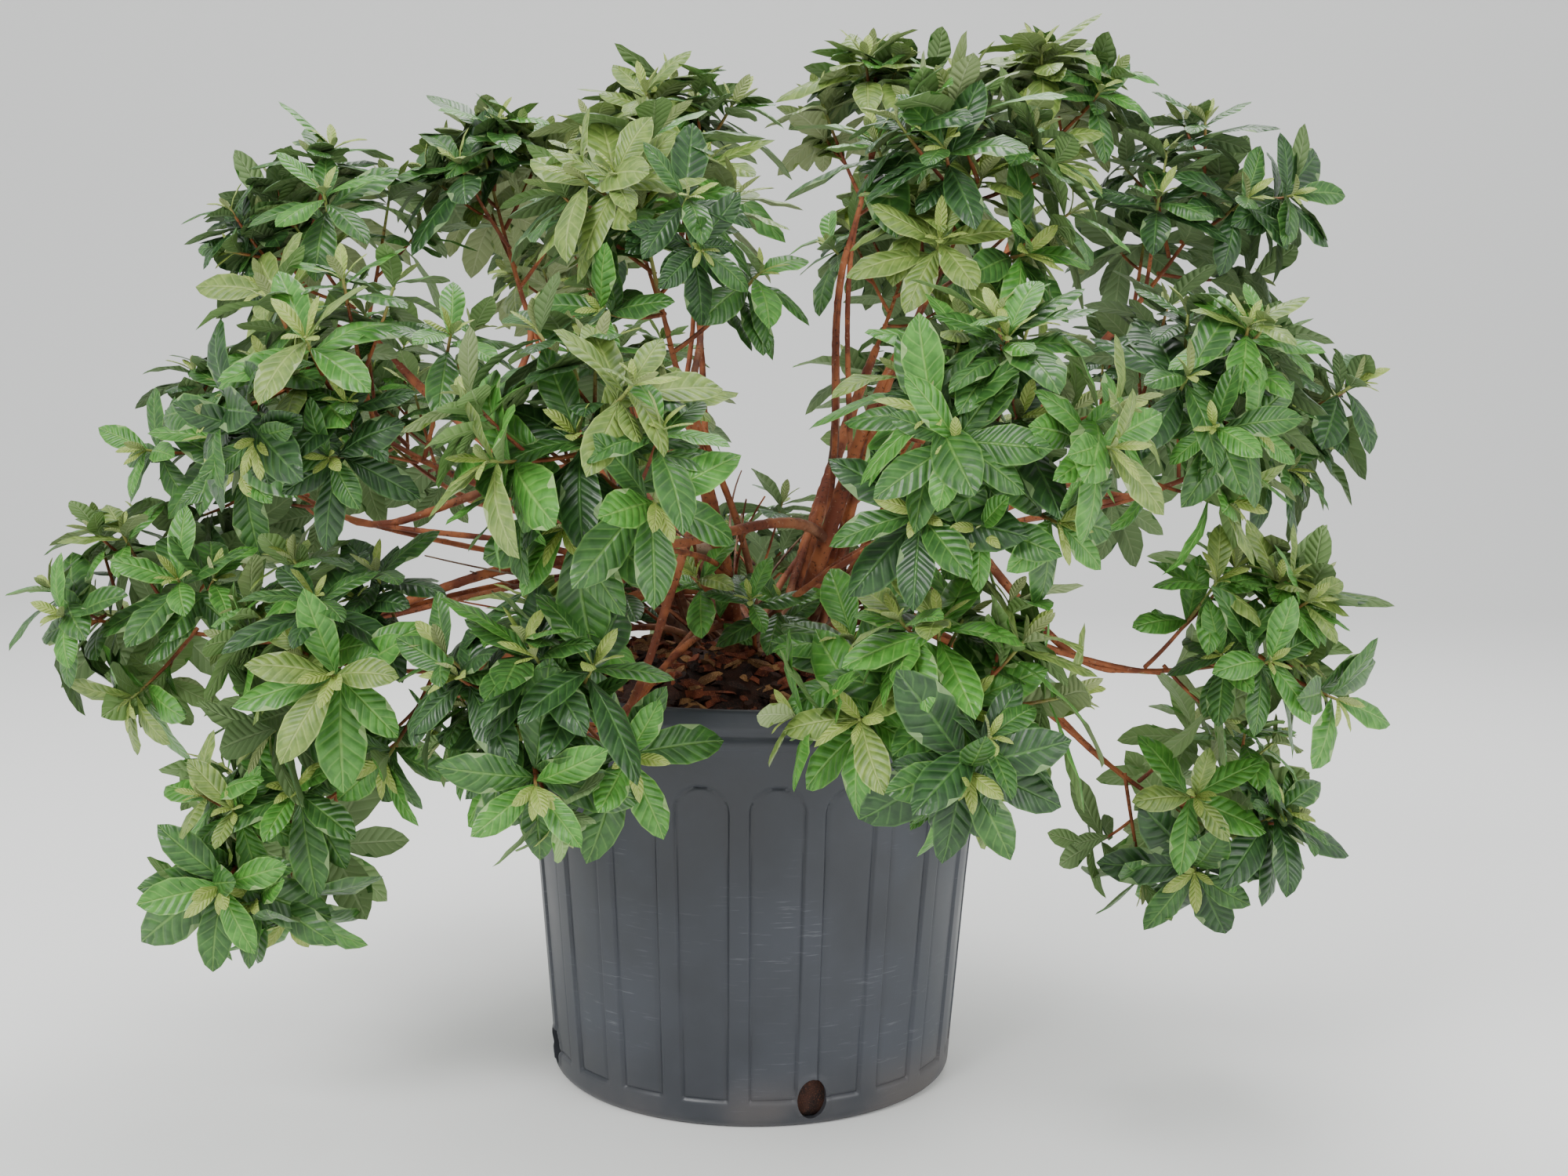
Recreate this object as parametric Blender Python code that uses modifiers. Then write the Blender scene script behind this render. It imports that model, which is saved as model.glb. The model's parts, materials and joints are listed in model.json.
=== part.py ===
"""Potted evergreen azalea: a shrub of many stems in a black nursery pot.

Metres, +Z up. The origin is the middle of the pot's flat underside, -Y is the
front, and the pot's rim sags at +X.

The pot is turned, then its arched panels and drain holes are cut out of it, and
the soil fills it. Main stems rise out of the soil and boughs fork from them.
Each stem and bough ends where it enters its own mass of foliage: twigs that
branch by a seeded rule from one stem, with whorls of leaves at their tips. A
mass keeps to its own cell, the points nearer to its centre than to any other's.
"""

import math
import random

import bmesh
import bpy
from mathutils import Matrix, Vector
from mathutils.bvhtree import BVHTree

# The pot
POT_HEIGHT = 0.236
RIM_RADIUS = 0.140
RIM_BAND = 0.022
RIM_LIP = 0.0045
BODY_TOP_RADIUS = 0.1365
FOOT_RADIUS = 0.1197
FOOT_CORNER = 0.006
WALL = 0.0032
FLOOR = 0.004
POT_STEPS = 40

PANEL_COUNT = 20
PANEL_FIRST_AZIMUTH = -83.4
PANEL_BOTTOM = 0.014
PANEL_TOP = 0.195
PANEL_HALF_WIDTH_LOW = 0.0140
PANEL_HALF_WIDTH_HIGH = 0.0165
PANEL_RECESS = 0.0005
PANEL_ARC_STEPS = 4

HOLE_COUNT = 4
HOLE_FIRST_AZIMUTH = -73.0
HOLE_HALF_WIDTH = 0.0085
HOLE_HALF_HEIGHT = 0.0115

RIM_SAG = 0.022
SAG_POWER = 2.4
SAG_FROM = 0.110
SAG_INNER_RADIUS = 0.060

# The soil: a low mound with a flat middle that the stems stand on
SOIL_TOP = 0.256
SOIL_EDGE = 0.228
SOIL_FLAT_RADIUS = 0.058

# Clear space kept between pieces that meet
GAP = 0.0003

# The stems and boughs
FOOT_RING = 0.040
FOOT_RISE = 0.006
FOOT_FLARE = 1.5
STEM_BASE_RADIUS = 0.0052
STEM_TIP_RADIUS = 0.0024
BOUGH_TAKES = 0.72
BOUGH_TIP_RADIUS = 0.0018
STEM_POINTS = 8
BOUGH_POINTS = 6
LIMB_SIDES = 6
FIRST_FORK = 0.26
FORK_STEP = 0.15
LIMB_CLEARANCE = 0.0012
POT_CLEARANCE = 0.004

# The foliage: in each tier, the slope of its shoots above level, the reach of its
# leaves around a mass's middle, and each mass's azimuth, distance out and height.
# The first tier's masses are carried by the main stems.
TIERS = {
    "crown": (48, 0.105, ((5, 0.250, 0.482), (305, 0.172, 0.466), (255, 0.180, 0.446),
                          (181, 0.246, 0.456), (125, 0.205, 0.468), (62, 0.200, 0.474))),
    "crest": (72, 0.088, ((25, 0.075, 0.540), (5, 0.165, 0.540),
                          (215, 0.060, 0.512), (172, 0.155, 0.496))),
    "shoulder": (22, 0.105, ((0, 0.284, 0.366), (327, 0.256, 0.378), (294, 0.262, 0.362),
                             (256, 0.268, 0.352), (220, 0.254, 0.378), (180, 0.290, 0.345),
                             (148, 0.284, 0.355), (110, 0.270, 0.365), (66, 0.270, 0.370),
                             (32, 0.290, 0.365))),
    "skirt": (0, 0.100, ((186, 0.340, 0.258), (216, 0.243, 0.252), (247, 0.232, 0.232),
                         (291, 0.238, 0.244), (340, 0.268, 0.250), (92, 0.258, 0.245))),
    "hem": (-38, 0.095, ((203, 0.268, 0.164), (350, 0.248, 0.160))),
}
STEM_TIER = "crown"
CROWDING = 12.0

MASS_STEM_BACK = 0.052
MASS_STEM_RADIUS = 0.0024
CELL_MARGIN = 0.0012
LEADER_LENGTH = 0.040
SIDE_SHOOTS = 4
SHOOT_FIRST = 0.38
SHOOT_STEP = 0.12
SHOOT_TURN = 2.5
SHOOT_LENGTH = 0.060
SHORTEST_SHOOT = 0.018
SHOOT_RADIUS = 0.0021
SHOOT_TIP_RADIUS = 0.0018
SHOOT_SPREAD = 62.0
WHORL_LEAVES = 5
WHORL_FIRST = 0.0030
WHORL_STEP = 0.0017
PITCH_TRIES = ((0.0, 1.0), (-16.0, 1.0), (16.0, 1.0), (-30.0, 1.0), (0.0, 0.75), (-30.0, 0.75))
LEAF_LENGTH = 0.066
LEAF_WIDTH = 0.030
LEAF_THICKNESS = 0.0020
LEAF_WIDEST = 0.60
LEAF_RIDGE = 0.30
LEAF_DROOP = 0.10
LEAF_PITCH = 66.0
LEAF_SUNK = 0.0003
SEED = 7

UP = Vector((0.0, 0.0, 1.0))


for item in list(bpy.data.objects):
    bpy.data.objects.remove(item, do_unlink=True)
plant = bpy.data.collections.new("potted_azalea")
cutters = bpy.data.collections.new("cutters")
bpy.context.scene.collection.children.link(plant)
bpy.context.scene.collection.children.link(cutters)


# Finishes

def finish(name, colour, roughness):
    """A Principled material of one colour."""
    material = bpy.data.materials.new(name)
    material.use_nodes = True
    shader = material.node_tree.nodes["Principled BSDF"]
    shader.inputs["Base Color"].default_value = (*colour, 1.0)
    shader.inputs["Roughness"].default_value = roughness
    shader.inputs["Metallic"].default_value = 0.0
    return material


POT_PLASTIC = finish("moulded_black_plastic", (0.030, 0.033, 0.040), 0.45)
BARK_MULCH = finish("bark_mulch", (0.105, 0.040, 0.020), 0.95)
STEM_BARK = finish("azalea_bark", (0.150, 0.060, 0.030), 0.80)
LEAF_GREEN = finish("azalea_leaf", (0.045, 0.120, 0.025), 0.40)


# Helpers

def place(name, mesh, material, collection=plant):
    """An object of this name that holds the mesh."""
    mesh.name = name
    mesh.materials.clear()
    if material is not None:
        mesh.materials.append(material)
    item = bpy.data.objects.new(name, mesh)
    collection.objects.link(item)
    return item


def hide(item):
    """Marks an object as a cutter or a guide."""
    item.hide_render = True
    item.display_type = "WIRE"


def evaluated_mesh(item):
    """A copy of the object's mesh as its modifiers leave it."""
    bpy.context.view_layer.update()
    depsgraph = bpy.context.evaluated_depsgraph_get()
    depsgraph.update()
    return bpy.data.meshes.new_from_object(item.evaluated_get(depsgraph))


def smoothstep(low, high, value):
    """0 below low, 1 above high, and an even S between them."""
    share = min(max((value - low) / (high - low), 0.0), 1.0)
    return share * share * (3.0 - 2.0 * share)


def at_azimuth(azimuth, radius, height):
    """The point at this azimuth in degrees, distance from the axis and height."""
    angle = math.radians(azimuth)
    return Vector((radius * math.cos(angle), radius * math.sin(angle), height))


# The pot and its soil

def inner_radius(height):
    """The inside of the pot's wall: one straight taper from floor to rim."""
    low = FOOT_RADIUS - WALL
    high = RIM_RADIUS - RIM_LIP
    return low + (high - low) * (height - FLOOR) / (POT_HEIGHT - FLOOR)


def wall_heights(top):
    """The heights at which the inner wall has a ring of points, up to the top."""
    steps = 3
    return [FLOOR + (top - FLOOR) * step / steps for step in range(steps + 1)]


def sag(mesh):
    """Lowers the side at +X, most at the rim and not at all near the foot."""
    for vertex in mesh.vertices:
        x, y, z = vertex.co
        radius = math.hypot(x, y)
        facing = max(x / radius, 0.0) if radius > 0.0 else 0.0
        share = smoothstep(SAG_FROM, POT_HEIGHT - RIM_BAND, z)
        share *= smoothstep(SAG_INNER_RADIUS, FOOT_RADIUS, radius)
        vertex.co.z -= RIM_SAG * share * facing ** SAG_POWER


def turn(name, profile, material):
    """Turns a profile of (radius, height) points about the Z axis."""
    mesh = bpy.data.meshes.new(name)
    points = [(radius, 0.0, height) for radius, height in profile]
    edges = [(k, k + 1) for k in range(len(points) - 1)]
    mesh.from_pydata(points, edges, [])
    item = place(name, mesh, material)
    screw = item.modifiers.new("turn", "SCREW")
    screw.steps = POT_STEPS
    screw.render_steps = POT_STEPS
    screw.use_merge_vertices = True
    screw.merge_threshold = 0.00005
    return item


def cut(item, tools):
    """Cuts a collection's objects out of the item and keeps the result as its mesh."""
    boolean = item.modifiers.new("cut", "BOOLEAN")
    boolean.operation = "DIFFERENCE"
    boolean.operand_type = "COLLECTION"
    boolean.collection = tools
    boolean.solver = "EXACT"
    mesh = evaluated_mesh(item)
    item.modifiers.clear()
    item.data = mesh


def pot_profile():
    """Up the inside from the floor's middle, over the rim and down the outside."""
    band_bottom = POT_HEIGHT - RIM_BAND
    points = [(0.0, FLOOR)]
    points += [(inner_radius(height), height) for height in wall_heights(POT_HEIGHT)]
    points.append((RIM_RADIUS - 0.0012, POT_HEIGHT))
    points.append((RIM_RADIUS, POT_HEIGHT - 0.0015))
    points.append((RIM_RADIUS - 0.0004, band_bottom + 0.0010))
    points.append((RIM_RADIUS - 0.0014, band_bottom))
    points.append((BODY_TOP_RADIUS, band_bottom))
    wall_steps = 2
    for step in range(1, wall_steps + 1):
        share = step / wall_steps
        radius = BODY_TOP_RADIUS + (FOOT_RADIUS - BODY_TOP_RADIUS) * share
        points.append((radius, band_bottom + (FOOT_CORNER - band_bottom) * share))
    points.append((FOOT_RADIUS - 0.3 * FOOT_CORNER, 0.3 * FOOT_CORNER))
    points.append((FOOT_RADIUS - FOOT_CORNER, 0.0))
    points.append((0.0, 0.0))
    return points


def outer_radius(height):
    """The outside of the pot's wall below the rim's band."""
    share = (height - FOOT_CORNER) / (POT_HEIGHT - RIM_BAND - FOOT_CORNER)
    return FOOT_RADIUS + (BODY_TOP_RADIUS - FOOT_RADIUS) * share


def add_panel_cutter(azimuth):
    """A shallow arch, square at the foot and round at the top, laid on the wall."""
    spring = PANEL_TOP - PANEL_HALF_WIDTH_HIGH
    outline = [(-PANEL_HALF_WIDTH_LOW, PANEL_BOTTOM), (PANEL_HALF_WIDTH_LOW, PANEL_BOTTOM)]
    for step in range(PANEL_ARC_STEPS + 1):
        angle = math.pi * step / PANEL_ARC_STEPS
        outline.append((PANEL_HALF_WIDTH_HIGH * math.cos(angle),
                        spring + PANEL_HALF_WIDTH_HIGH * math.sin(angle)))
    half_thickness = 0.003
    curve = bpy.data.curves.new("panel_outline", "CURVE")
    curve.dimensions = "2D"
    curve.fill_mode = "BOTH"
    curve.extrude = half_thickness
    spline = curve.splines.new("POLY")
    spline.points.add(len(outline) - 1)
    for point, (across, along) in zip(spline.points, outline):
        point.co = (across, along, 0.0, 1.0)
    spline.use_cyclic_u = True
    holder = bpy.data.objects.new("panel_outline", curve)
    cutters.objects.link(holder)
    mesh = evaluated_mesh(holder)
    weld(mesh)
    bpy.data.objects.remove(holder, do_unlink=True)

    taper = math.atan2(BODY_TOP_RADIUS - FOOT_RADIUS, POT_HEIGHT - RIM_BAND - FOOT_CORNER)
    middle = outer_radius(0.5 * (PANEL_BOTTOM + PANEL_TOP))
    bulge = middle - math.sqrt(middle ** 2 - PANEL_HALF_WIDTH_HIGH ** 2)
    foot_radius = outer_radius(0.0) - bulge - PANEL_RECESS + half_thickness
    outward = Matrix.Rotation(math.radians(azimuth + 90.0), 4, "Z")
    lean = Matrix.Rotation(math.radians(90.0) + taper, 4, "X")
    lean.translation = (0.0, -foot_radius, 0.0)
    mesh.transform(outward @ lean)
    hide(place("panel_cutter", mesh, None, cutters))


def add_hole_cutter(azimuth):
    """An upright oval plug that goes through the wall just above the floor."""
    mesh = bpy.data.meshes.new("hole_cutter")
    form = bmesh.new()
    bmesh.ops.create_cone(form, cap_ends=True, segments=12, radius1=1.0, radius2=1.0, depth=0.020)
    form.to_mesh(mesh)
    form.free()
    turn_out = Matrix.Rotation(math.radians(azimuth), 4, "Z")
    lay_down = Matrix.Rotation(math.radians(90.0), 4, "Y")
    oval = Matrix.Diagonal((HOLE_HALF_HEIGHT, HOLE_HALF_WIDTH, 1.0, 1.0))
    height = FLOOR + HOLE_HALF_HEIGHT + 0.0005
    out = Matrix.Translation((FOOT_RADIUS, 0.0, height))
    mesh.transform(turn_out @ out @ lay_down @ oval)
    hide(place("hole_cutter", mesh, None, cutters))


def weld(mesh):
    """Joins points that lie together."""
    form = bmesh.new()
    form.from_mesh(mesh)
    bmesh.ops.remove_doubles(form, verts=form.verts, dist=0.000002)
    form.to_mesh(mesh)
    form.free()


def make_pot():
    """The moulded pot, with its panels, drain holes and sagging rim."""
    item = turn("pot", pot_profile(), POT_PLASTIC)
    for k in range(PANEL_COUNT):
        add_panel_cutter(PANEL_FIRST_AZIMUTH + k * 360.0 / PANEL_COUNT)
    for k in range(HOLE_COUNT):
        add_hole_cutter(HOLE_FIRST_AZIMUTH + k * 360.0 / HOLE_COUNT)
    cut(item, cutters)
    sag(item.data)
    item.data.shade_smooth()
    item.data.set_sharp_from_angle(angle=math.radians(30.0))
    for tool in list(cutters.objects):
        bpy.data.objects.remove(tool, do_unlink=True)


def make_soil():
    """The bark mulch that fills the pot, mounded round the stems."""
    points = [(0.0, SOIL_TOP), (SOIL_FLAT_RADIUS, SOIL_TOP)]
    mound_steps = 3
    edge_radius = inner_radius(SOIL_EDGE) - GAP
    for step in range(1, mound_steps + 1):
        share = step / mound_steps
        drop = (SOIL_TOP - SOIL_EDGE) * smoothstep(0.0, 1.0, share)
        points.append((SOIL_FLAT_RADIUS + (edge_radius - SOIL_FLAT_RADIUS) * share,
                       SOIL_TOP - drop))
    for height in reversed(wall_heights(POT_HEIGHT)):
        if FLOOR < height < SOIL_EDGE:
            points.append((inner_radius(height) - GAP, height))
    points.append((inner_radius(FLOOR) - 2.0 * GAP, FLOOR + GAP))
    points.append((0.0, FLOOR + GAP))
    item = turn("soil", points, BARK_MULCH)
    mesh = evaluated_mesh(item)
    item.modifiers.clear()
    item.data = mesh
    sag(mesh)


# The limbs

def bezier(start, leave, arrive, end, count):
    """A cubic curve from start to end, whose two inner handles bend it."""
    points = []
    for step in range(count):
        t = step / (count - 1)
        s = 1.0 - t
        points.append(s ** 3 * start + 3.0 * s * s * t * leave
                      + 3.0 * s * t * t * arrive + t ** 3 * end)
    return points


def taper(base, tip, count):
    """Radii that shrink from base to tip."""
    return [tip + (base - tip) * (1.0 - step / (count - 1)) ** 0.85 for step in range(count)]


def tube_mesh(points, radii):
    """A closed tube through the points."""
    curve = bpy.data.curves.new("limb_path", "CURVE")
    curve.dimensions = "3D"
    curve.bevel_depth = STEM_BASE_RADIUS
    curve.bevel_resolution = (LIMB_SIDES - 4) // 2
    curve.use_fill_caps = True
    spline = curve.splines.new("POLY")
    spline.points.add(len(points) - 1)
    for knot, point, radius in zip(spline.points, points, radii):
        knot.co = (*point, 1.0)
        knot.radius = radius / STEM_BASE_RADIUS
    holder = bpy.data.objects.new("limb_path", curve)
    cutters.objects.link(holder)
    mesh = evaluated_mesh(holder)
    bpy.data.objects.remove(holder, do_unlink=True)
    weld(mesh)
    return mesh


def shoot_direction(azimuth, slope):
    """The way a mass's leading shoot points."""
    level = at_azimuth(azimuth, math.cos(math.radians(slope)), 0.0)
    return level + UP * math.sin(math.radians(slope))


def cell_margin(point, number, masses):
    """How far a point is inside the cell of the mass with this number."""
    own = masses[number]["middle"]
    margin = 1.0
    for other, mass in enumerate(masses):
        if other != number:
            middle = mass["middle"]
            spare = (point - middle).length_squared - (point - own).length_squared
            margin = min(margin, spare / (2.0 * (middle - own).length))
    return margin


def list_masses():
    """Every mass, with its middle, its direction and the point where its limb ends."""
    masses = []
    for tier, (slope, reach, seats) in TIERS.items():
        for number, (azimuth, out, height) in enumerate(seats, start=1):
            masses.append({
                "name": f"foliage_{tier}_{number}",
                "tier": tier,
                "azimuth": azimuth,
                "slope": slope,
                "reach": reach,
                "middle": at_azimuth(azimuth, out, height),
                "direction": shoot_direction(azimuth, slope),
            })
    for number, mass in enumerate(masses):
        back = MASS_STEM_BACK
        root = mass["middle"] - mass["direction"] * back
        while cell_margin(root, number, masses) < 3.0 * CELL_MARGIN:
            back *= 0.85
            root = mass["middle"] - mass["direction"] * back
        mass["root"] = root
    return masses


def stem_limb(mass):
    """A main stem, from its foot on the soil to the mass that it carries."""
    foot = at_azimuth(mass["azimuth"], FOOT_RING, SOIL_TOP + GAP)
    start = foot + UP * FOOT_RISE
    span = (mass["root"] - start).length
    outward = at_azimuth(mass["azimuth"], 1.0, 0.0)
    leave = start + (UP * 0.80 + outward * 0.45) * 0.38 * span
    arrive = mass["root"] - mass["direction"] * 0.30 * span
    points = [foot] + bezier(start, leave, arrive, mass["root"], STEM_POINTS)
    radii = taper(STEM_BASE_RADIUS, STEM_TIP_RADIUS, STEM_POINTS)
    return {"points": points, "radii": [STEM_BASE_RADIUS * FOOT_FLARE] + radii, "boughs": []}


def limb_at(limb, share):
    """The point, direction and radius at a share of a limb's length."""
    points = limb["points"]
    place_along = share * (len(points) - 1)
    k = min(int(place_along), len(points) - 2)
    rest = place_along - k
    point = points[k].lerp(points[k + 1], rest)
    radius = limb["radii"][k] + (limb["radii"][k + 1] - limb["radii"][k]) * rest
    return point, (points[k + 1] - points[k]).normalized(), radius


def bough_limb(stem, share, mass):
    """A bough that forks from a stem and arches over to its mass."""
    start, along, radius = limb_at(stem, share)
    span = (mass["root"] - start).length
    towards = (mass["root"] - start).normalized()
    low = 1.0 - smoothstep(-10.0, 50.0, mass["slope"])
    leave = start + (along * 0.28 + towards * 0.74 + UP * 0.40 * low) * 0.36 * span
    arrive = mass["root"] - mass["direction"] * 0.30 * span
    points = bezier(start, leave, arrive, mass["root"], BOUGH_POINTS)
    return {"points": points, "radii": taper(radius * BOUGH_TAKES, BOUGH_TIP_RADIUS, BOUGH_POINTS)}


def turn_between(first, second):
    """The angle in degrees between two azimuths."""
    return abs((first - second + 180.0) % 360.0 - 180.0)


def grow_limbs(masses):
    """Gives each mass its limb: a main stem, or a bough on the stem nearest to it."""
    stems = []
    for mass in masses:
        if mass["tier"] == STEM_TIER:
            mass["limb"] = stem_limb(mass)
            mass["parent"] = None
            stems.append(mass)
    for mass in sorted((m for m in masses if "limb" not in m), key=lambda m: m["azimuth"]):
        stem = min(stems, key=lambda s: turn_between(s["azimuth"], mass["azimuth"])
                   + CROWDING * len(s["limb"]["boughs"]))
        stem["limb"]["boughs"].append(mass)
    for stem in stems:
        carried = sorted(stem["limb"]["boughs"], key=lambda m: (m["slope"], m["azimuth"]))
        for number, mass in enumerate(carried):
            share = FIRST_FORK + FORK_STEP * number
            mass["limb"] = bough_limb(stem["limb"], share, mass)
            mass["parent"] = stem


def grown(limb, extra):
    """The limb's tube, made thicker all round by extra."""
    return tube_mesh(limb["points"], [radius + extra for radius in limb["radii"]])


def make_limbs(masses):
    """The stems and boughs; a bough's foot is cut to sit on its stem like a saddle."""
    for mass in masses:
        limb = mass["limb"]
        kind = "stem" if mass["parent"] is None else "bough"
        name = mass["name"].replace("foliage", kind)
        item = place(name, tube_mesh(limb["points"], limb["radii"]), STEM_BARK)
        if mass["parent"] is not None:
            parent = mass["parent"]["limb"]
            saddle = place("saddle_cutter", grown(parent, 1.5 * GAP), None, cutters)
            cut(item, cutters)
            keep_largest(item.data)
            bpy.data.objects.remove(saddle, do_unlink=True)
        item.data.shade_smooth()
        item.data.set_sharp_from_angle(angle=math.radians(50.0))


# The foliage

def shells(form):
    """The connected groups of faces in a form."""
    left = set(form.faces)
    groups = []
    while left:
        group = set()
        edge = [left.pop()]
        while edge:
            face = edge.pop()
            group.add(face)
            for line in face.edges:
                for near in line.link_faces:
                    if near in left:
                        left.remove(near)
                        edge.append(near)
        groups.append(group)
    return groups


def span_of(group):
    """The diagonal of the box around a group of faces."""
    points = [vertex.co for face in group for vertex in face.verts]
    low = Vector([min(point[k] for point in points) for k in range(3)])
    high = Vector([max(point[k] for point in points) for k in range(3)])
    return (high - low).length


def keep_largest(mesh):
    """Drops loose scraps, and the walls of sealed hollows, from a fused mesh."""
    form = bmesh.new()
    form.from_mesh(mesh)
    bmesh.ops.remove_doubles(form, verts=form.verts, dist=0.000002)
    bmesh.ops.dissolve_degenerate(form, edges=form.edges, dist=0.000001)
    groups = sorted(shells(form), key=span_of, reverse=True)
    scraps = [face for group in groups[1:] for face in group]
    bmesh.ops.delete(form, geom=scraps, context="FACES")
    bmesh.ops.triangulate(form, faces=form.faces)
    form.to_mesh(mesh)
    form.free()
    return len(groups) - 1


def twig_mesh(start, end, base, tip):
    """A three-sided tapering prism between two points."""
    mesh = bpy.data.meshes.new("twig")
    form = bmesh.new()
    length = (end - start).length
    bmesh.ops.create_cone(form, cap_ends=True, segments=3, radius1=base, radius2=tip, depth=length)
    form.to_mesh(mesh)
    form.free()
    stand = (end - start).to_track_quat("Z", "Y").to_matrix().to_4x4()
    mesh.transform(Matrix.Translation(0.5 * (start + end)) @ stand)
    return mesh


def leaf_mesh(root, along, face, length):
    """A leaf of eight faces: ends at root and tip, widest past the middle, a raised rib."""
    mesh = bpy.data.meshes.new("leaf")
    form = bmesh.new()
    bmesh.ops.create_uvsphere(form, u_segments=4, v_segments=2, radius=1.0)
    side = along.cross(face).normalized()
    face = side.cross(along).normalized()
    for vertex in form.verts:
        across, rise, end = (round(value) for value in vertex.co)
        if end < 0:
            share, lift = 0.0, 0.0
        elif end > 0:
            share, lift = 1.0, -LEAF_DROOP * length
        elif across:
            share, lift = LEAF_WIDEST, -0.35 * LEAF_DROOP * length
        else:
            share, lift = LEAF_RIDGE, rise * 0.5 * LEAF_THICKNESS
        width = across * 0.5 * LEAF_WIDTH * length / LEAF_LENGTH
        vertex.co = root + along * (share * length) + side * width + face * lift
    form.to_mesh(mesh)
    form.free()
    return mesh


def spread_from(axis, sixth, tilt):
    """A direction tilted away from a twig's axis, towards one of six bearings.

    The bearings pass through the twig's three flat sides, two to a side, so that what
    grows there leaves the twig through a side and not over an edge.
    """
    angle = math.radians(60.0 * sixth)
    level = axis.to_track_quat("Z", "Y") @ Vector((math.cos(angle), math.sin(angle), 0.0))
    return axis * math.cos(math.radians(tilt)) + level * math.sin(math.radians(tilt))


def tree_of(mesh):
    """A search tree over the mesh's faces."""
    return BVHTree.FromPolygons([v.co for v in mesh.vertices], [p.vertices for p in mesh.polygons])


def outline_points(mesh):
    """Points on the mesh's corners and along its edges."""
    corners = [vertex.co.copy() for vertex in mesh.vertices]
    middles = [0.5 * (corners[a] + corners[b]) for a, b in (edge.vertices for edge in mesh.edges)]
    return corners + middles


def fits(mesh, number, masses, obstacles):
    """Whether a twig or leaf keeps to its mass's cell and reach, clear of every obstacle."""
    mass = masses[number]
    for point in outline_points(mesh):
        if (point - mass["middle"]).length > mass["reach"]:
            return False
        if cell_margin(point, number, masses) < CELL_MARGIN:
            return False
        if point.z < SOIL_TOP + POT_CLEARANCE and (
                math.hypot(point.x, point.y) < RIM_RADIUS + POT_CLEARANCE):
            return False
    tree = tree_of(mesh)
    return not any(tree.overlap(obstacle) for obstacle in obstacles)


def grow_whorl(base, heading, length, draw, stays):
    """A whorl of leaves round the end of a shoot; stays says whether a leaf may be kept."""
    leaves = []
    first = draw.randrange(6)
    for k in range(WHORL_LEAVES):
        pitch = LEAF_PITCH + draw.uniform(-14.0, 14.0)
        size = LEAF_LENGTH * draw.uniform(0.88, 1.08)
        foot_at = base + heading * (length - WHORL_FIRST - WHORL_STEP * k)
        for tilt, share in PITCH_TRIES:
            along = spread_from(heading, first + k, pitch + tilt)
            leaf = leaf_mesh(foot_at - along * LEAF_SUNK, along, heading, size * share)
            if stays(leaf):
                leaves.append(leaf)
                break
    return leaves


def grow_mass(number, masses, obstacles):
    """The twigs and leaves of one mass, as loose meshes."""
    mass = masses[number]
    draw = random.Random(SEED + number)
    direction = (mass["limb"]["points"][-1] - mass["limb"]["points"][-2]).normalized()
    start = mass["root"] + direction * GAP
    leader = (mass["middle"] - start).length + LEADER_LENGTH
    stem = twig_mesh(start, start + direction * leader, MASS_STEM_RADIUS, SHOOT_TIP_RADIUS)
    first = draw.randrange(6)
    shoots = [(start, direction, leader, stem)]
    for k in range(SIDE_SHOOTS):
        spread = SHOOT_SPREAD + draw.uniform(-12.0, 12.0)
        heading = spread_from(direction, first + SHOOT_TURN * k, spread)
        base = start + direction * leader * (SHOOT_FIRST + SHOOT_STEP * k)
        length = SHOOT_LENGTH * draw.uniform(0.80, 1.15)
        while length > SHORTEST_SHOOT:
            twig = twig_mesh(base, base + heading * length, SHOOT_RADIUS, SHOOT_TIP_RADIUS)
            if fits(twig, number, masses, obstacles):
                shoots.append((base, heading, length, twig))
                break
            length *= 0.85
    twigs = [twig for base, heading, length, twig in shoots]
    leaves = []
    leaf_trees = []
    for base, heading, length, twig in shoots:
        others = [tree_of(other) for other in twigs if other is not twig]

        def stays(leaf):
            tree = tree_of(leaf)
            if any(tree.overlap(other) for other in others + leaf_trees):
                return False
            if not fits(leaf, number, masses, obstacles):
                return False
            leaf_trees.append(tree)
            return True

        leaves += grow_whorl(base, heading, length, draw, stays)
    return twigs, leaves


def fuse(name, pieces):
    """Joins a mass's twigs and leaves into one closed solid."""
    body = place(name, pieces[0], LEAF_GREEN)
    union = bpy.data.collections.new("to_fuse")
    bpy.context.scene.collection.children.link(union)
    for piece in pieces[1:]:
        place("piece", piece, LEAF_GREEN, union)
    boolean = body.modifiers.new("fuse", "BOOLEAN")
    boolean.operation = "UNION"
    boolean.operand_type = "COLLECTION"
    boolean.collection = union
    boolean.solver = "EXACT"
    mesh = evaluated_mesh(body)
    body.modifiers.clear()
    body.data = mesh
    for piece in list(union.objects):
        bpy.data.objects.remove(piece, do_unlink=True)
    bpy.data.collections.remove(union)
    return keep_largest(mesh)


def make_foliage(masses):
    """Every mass of foliage."""
    obstacles = [tree_of(grown(mass["limb"], LIMB_CLEARANCE)) for mass in masses]
    total = 0
    for number, mass in enumerate(masses):
        others = [tree for k, tree in enumerate(obstacles) if k != number]
        twigs, leaves = grow_mass(number, masses, others)
        scraps = fuse(mass["name"], twigs + leaves)
        total += len(leaves)
        print(f"{mass['name']}: {len(leaves)} leaves, {scraps} scraps dropped")
    print(f"{total} leaves")


make_pot()
make_soil()
all_masses = list_masses()
grow_limbs(all_masses)
make_limbs(all_masses)
make_foliage(all_masses)
print(sum(len(item.data.loop_triangles) or sum(len(p.vertices) - 2 for p in item.data.polygons)
          for item in plant.objects), "triangles")
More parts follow.
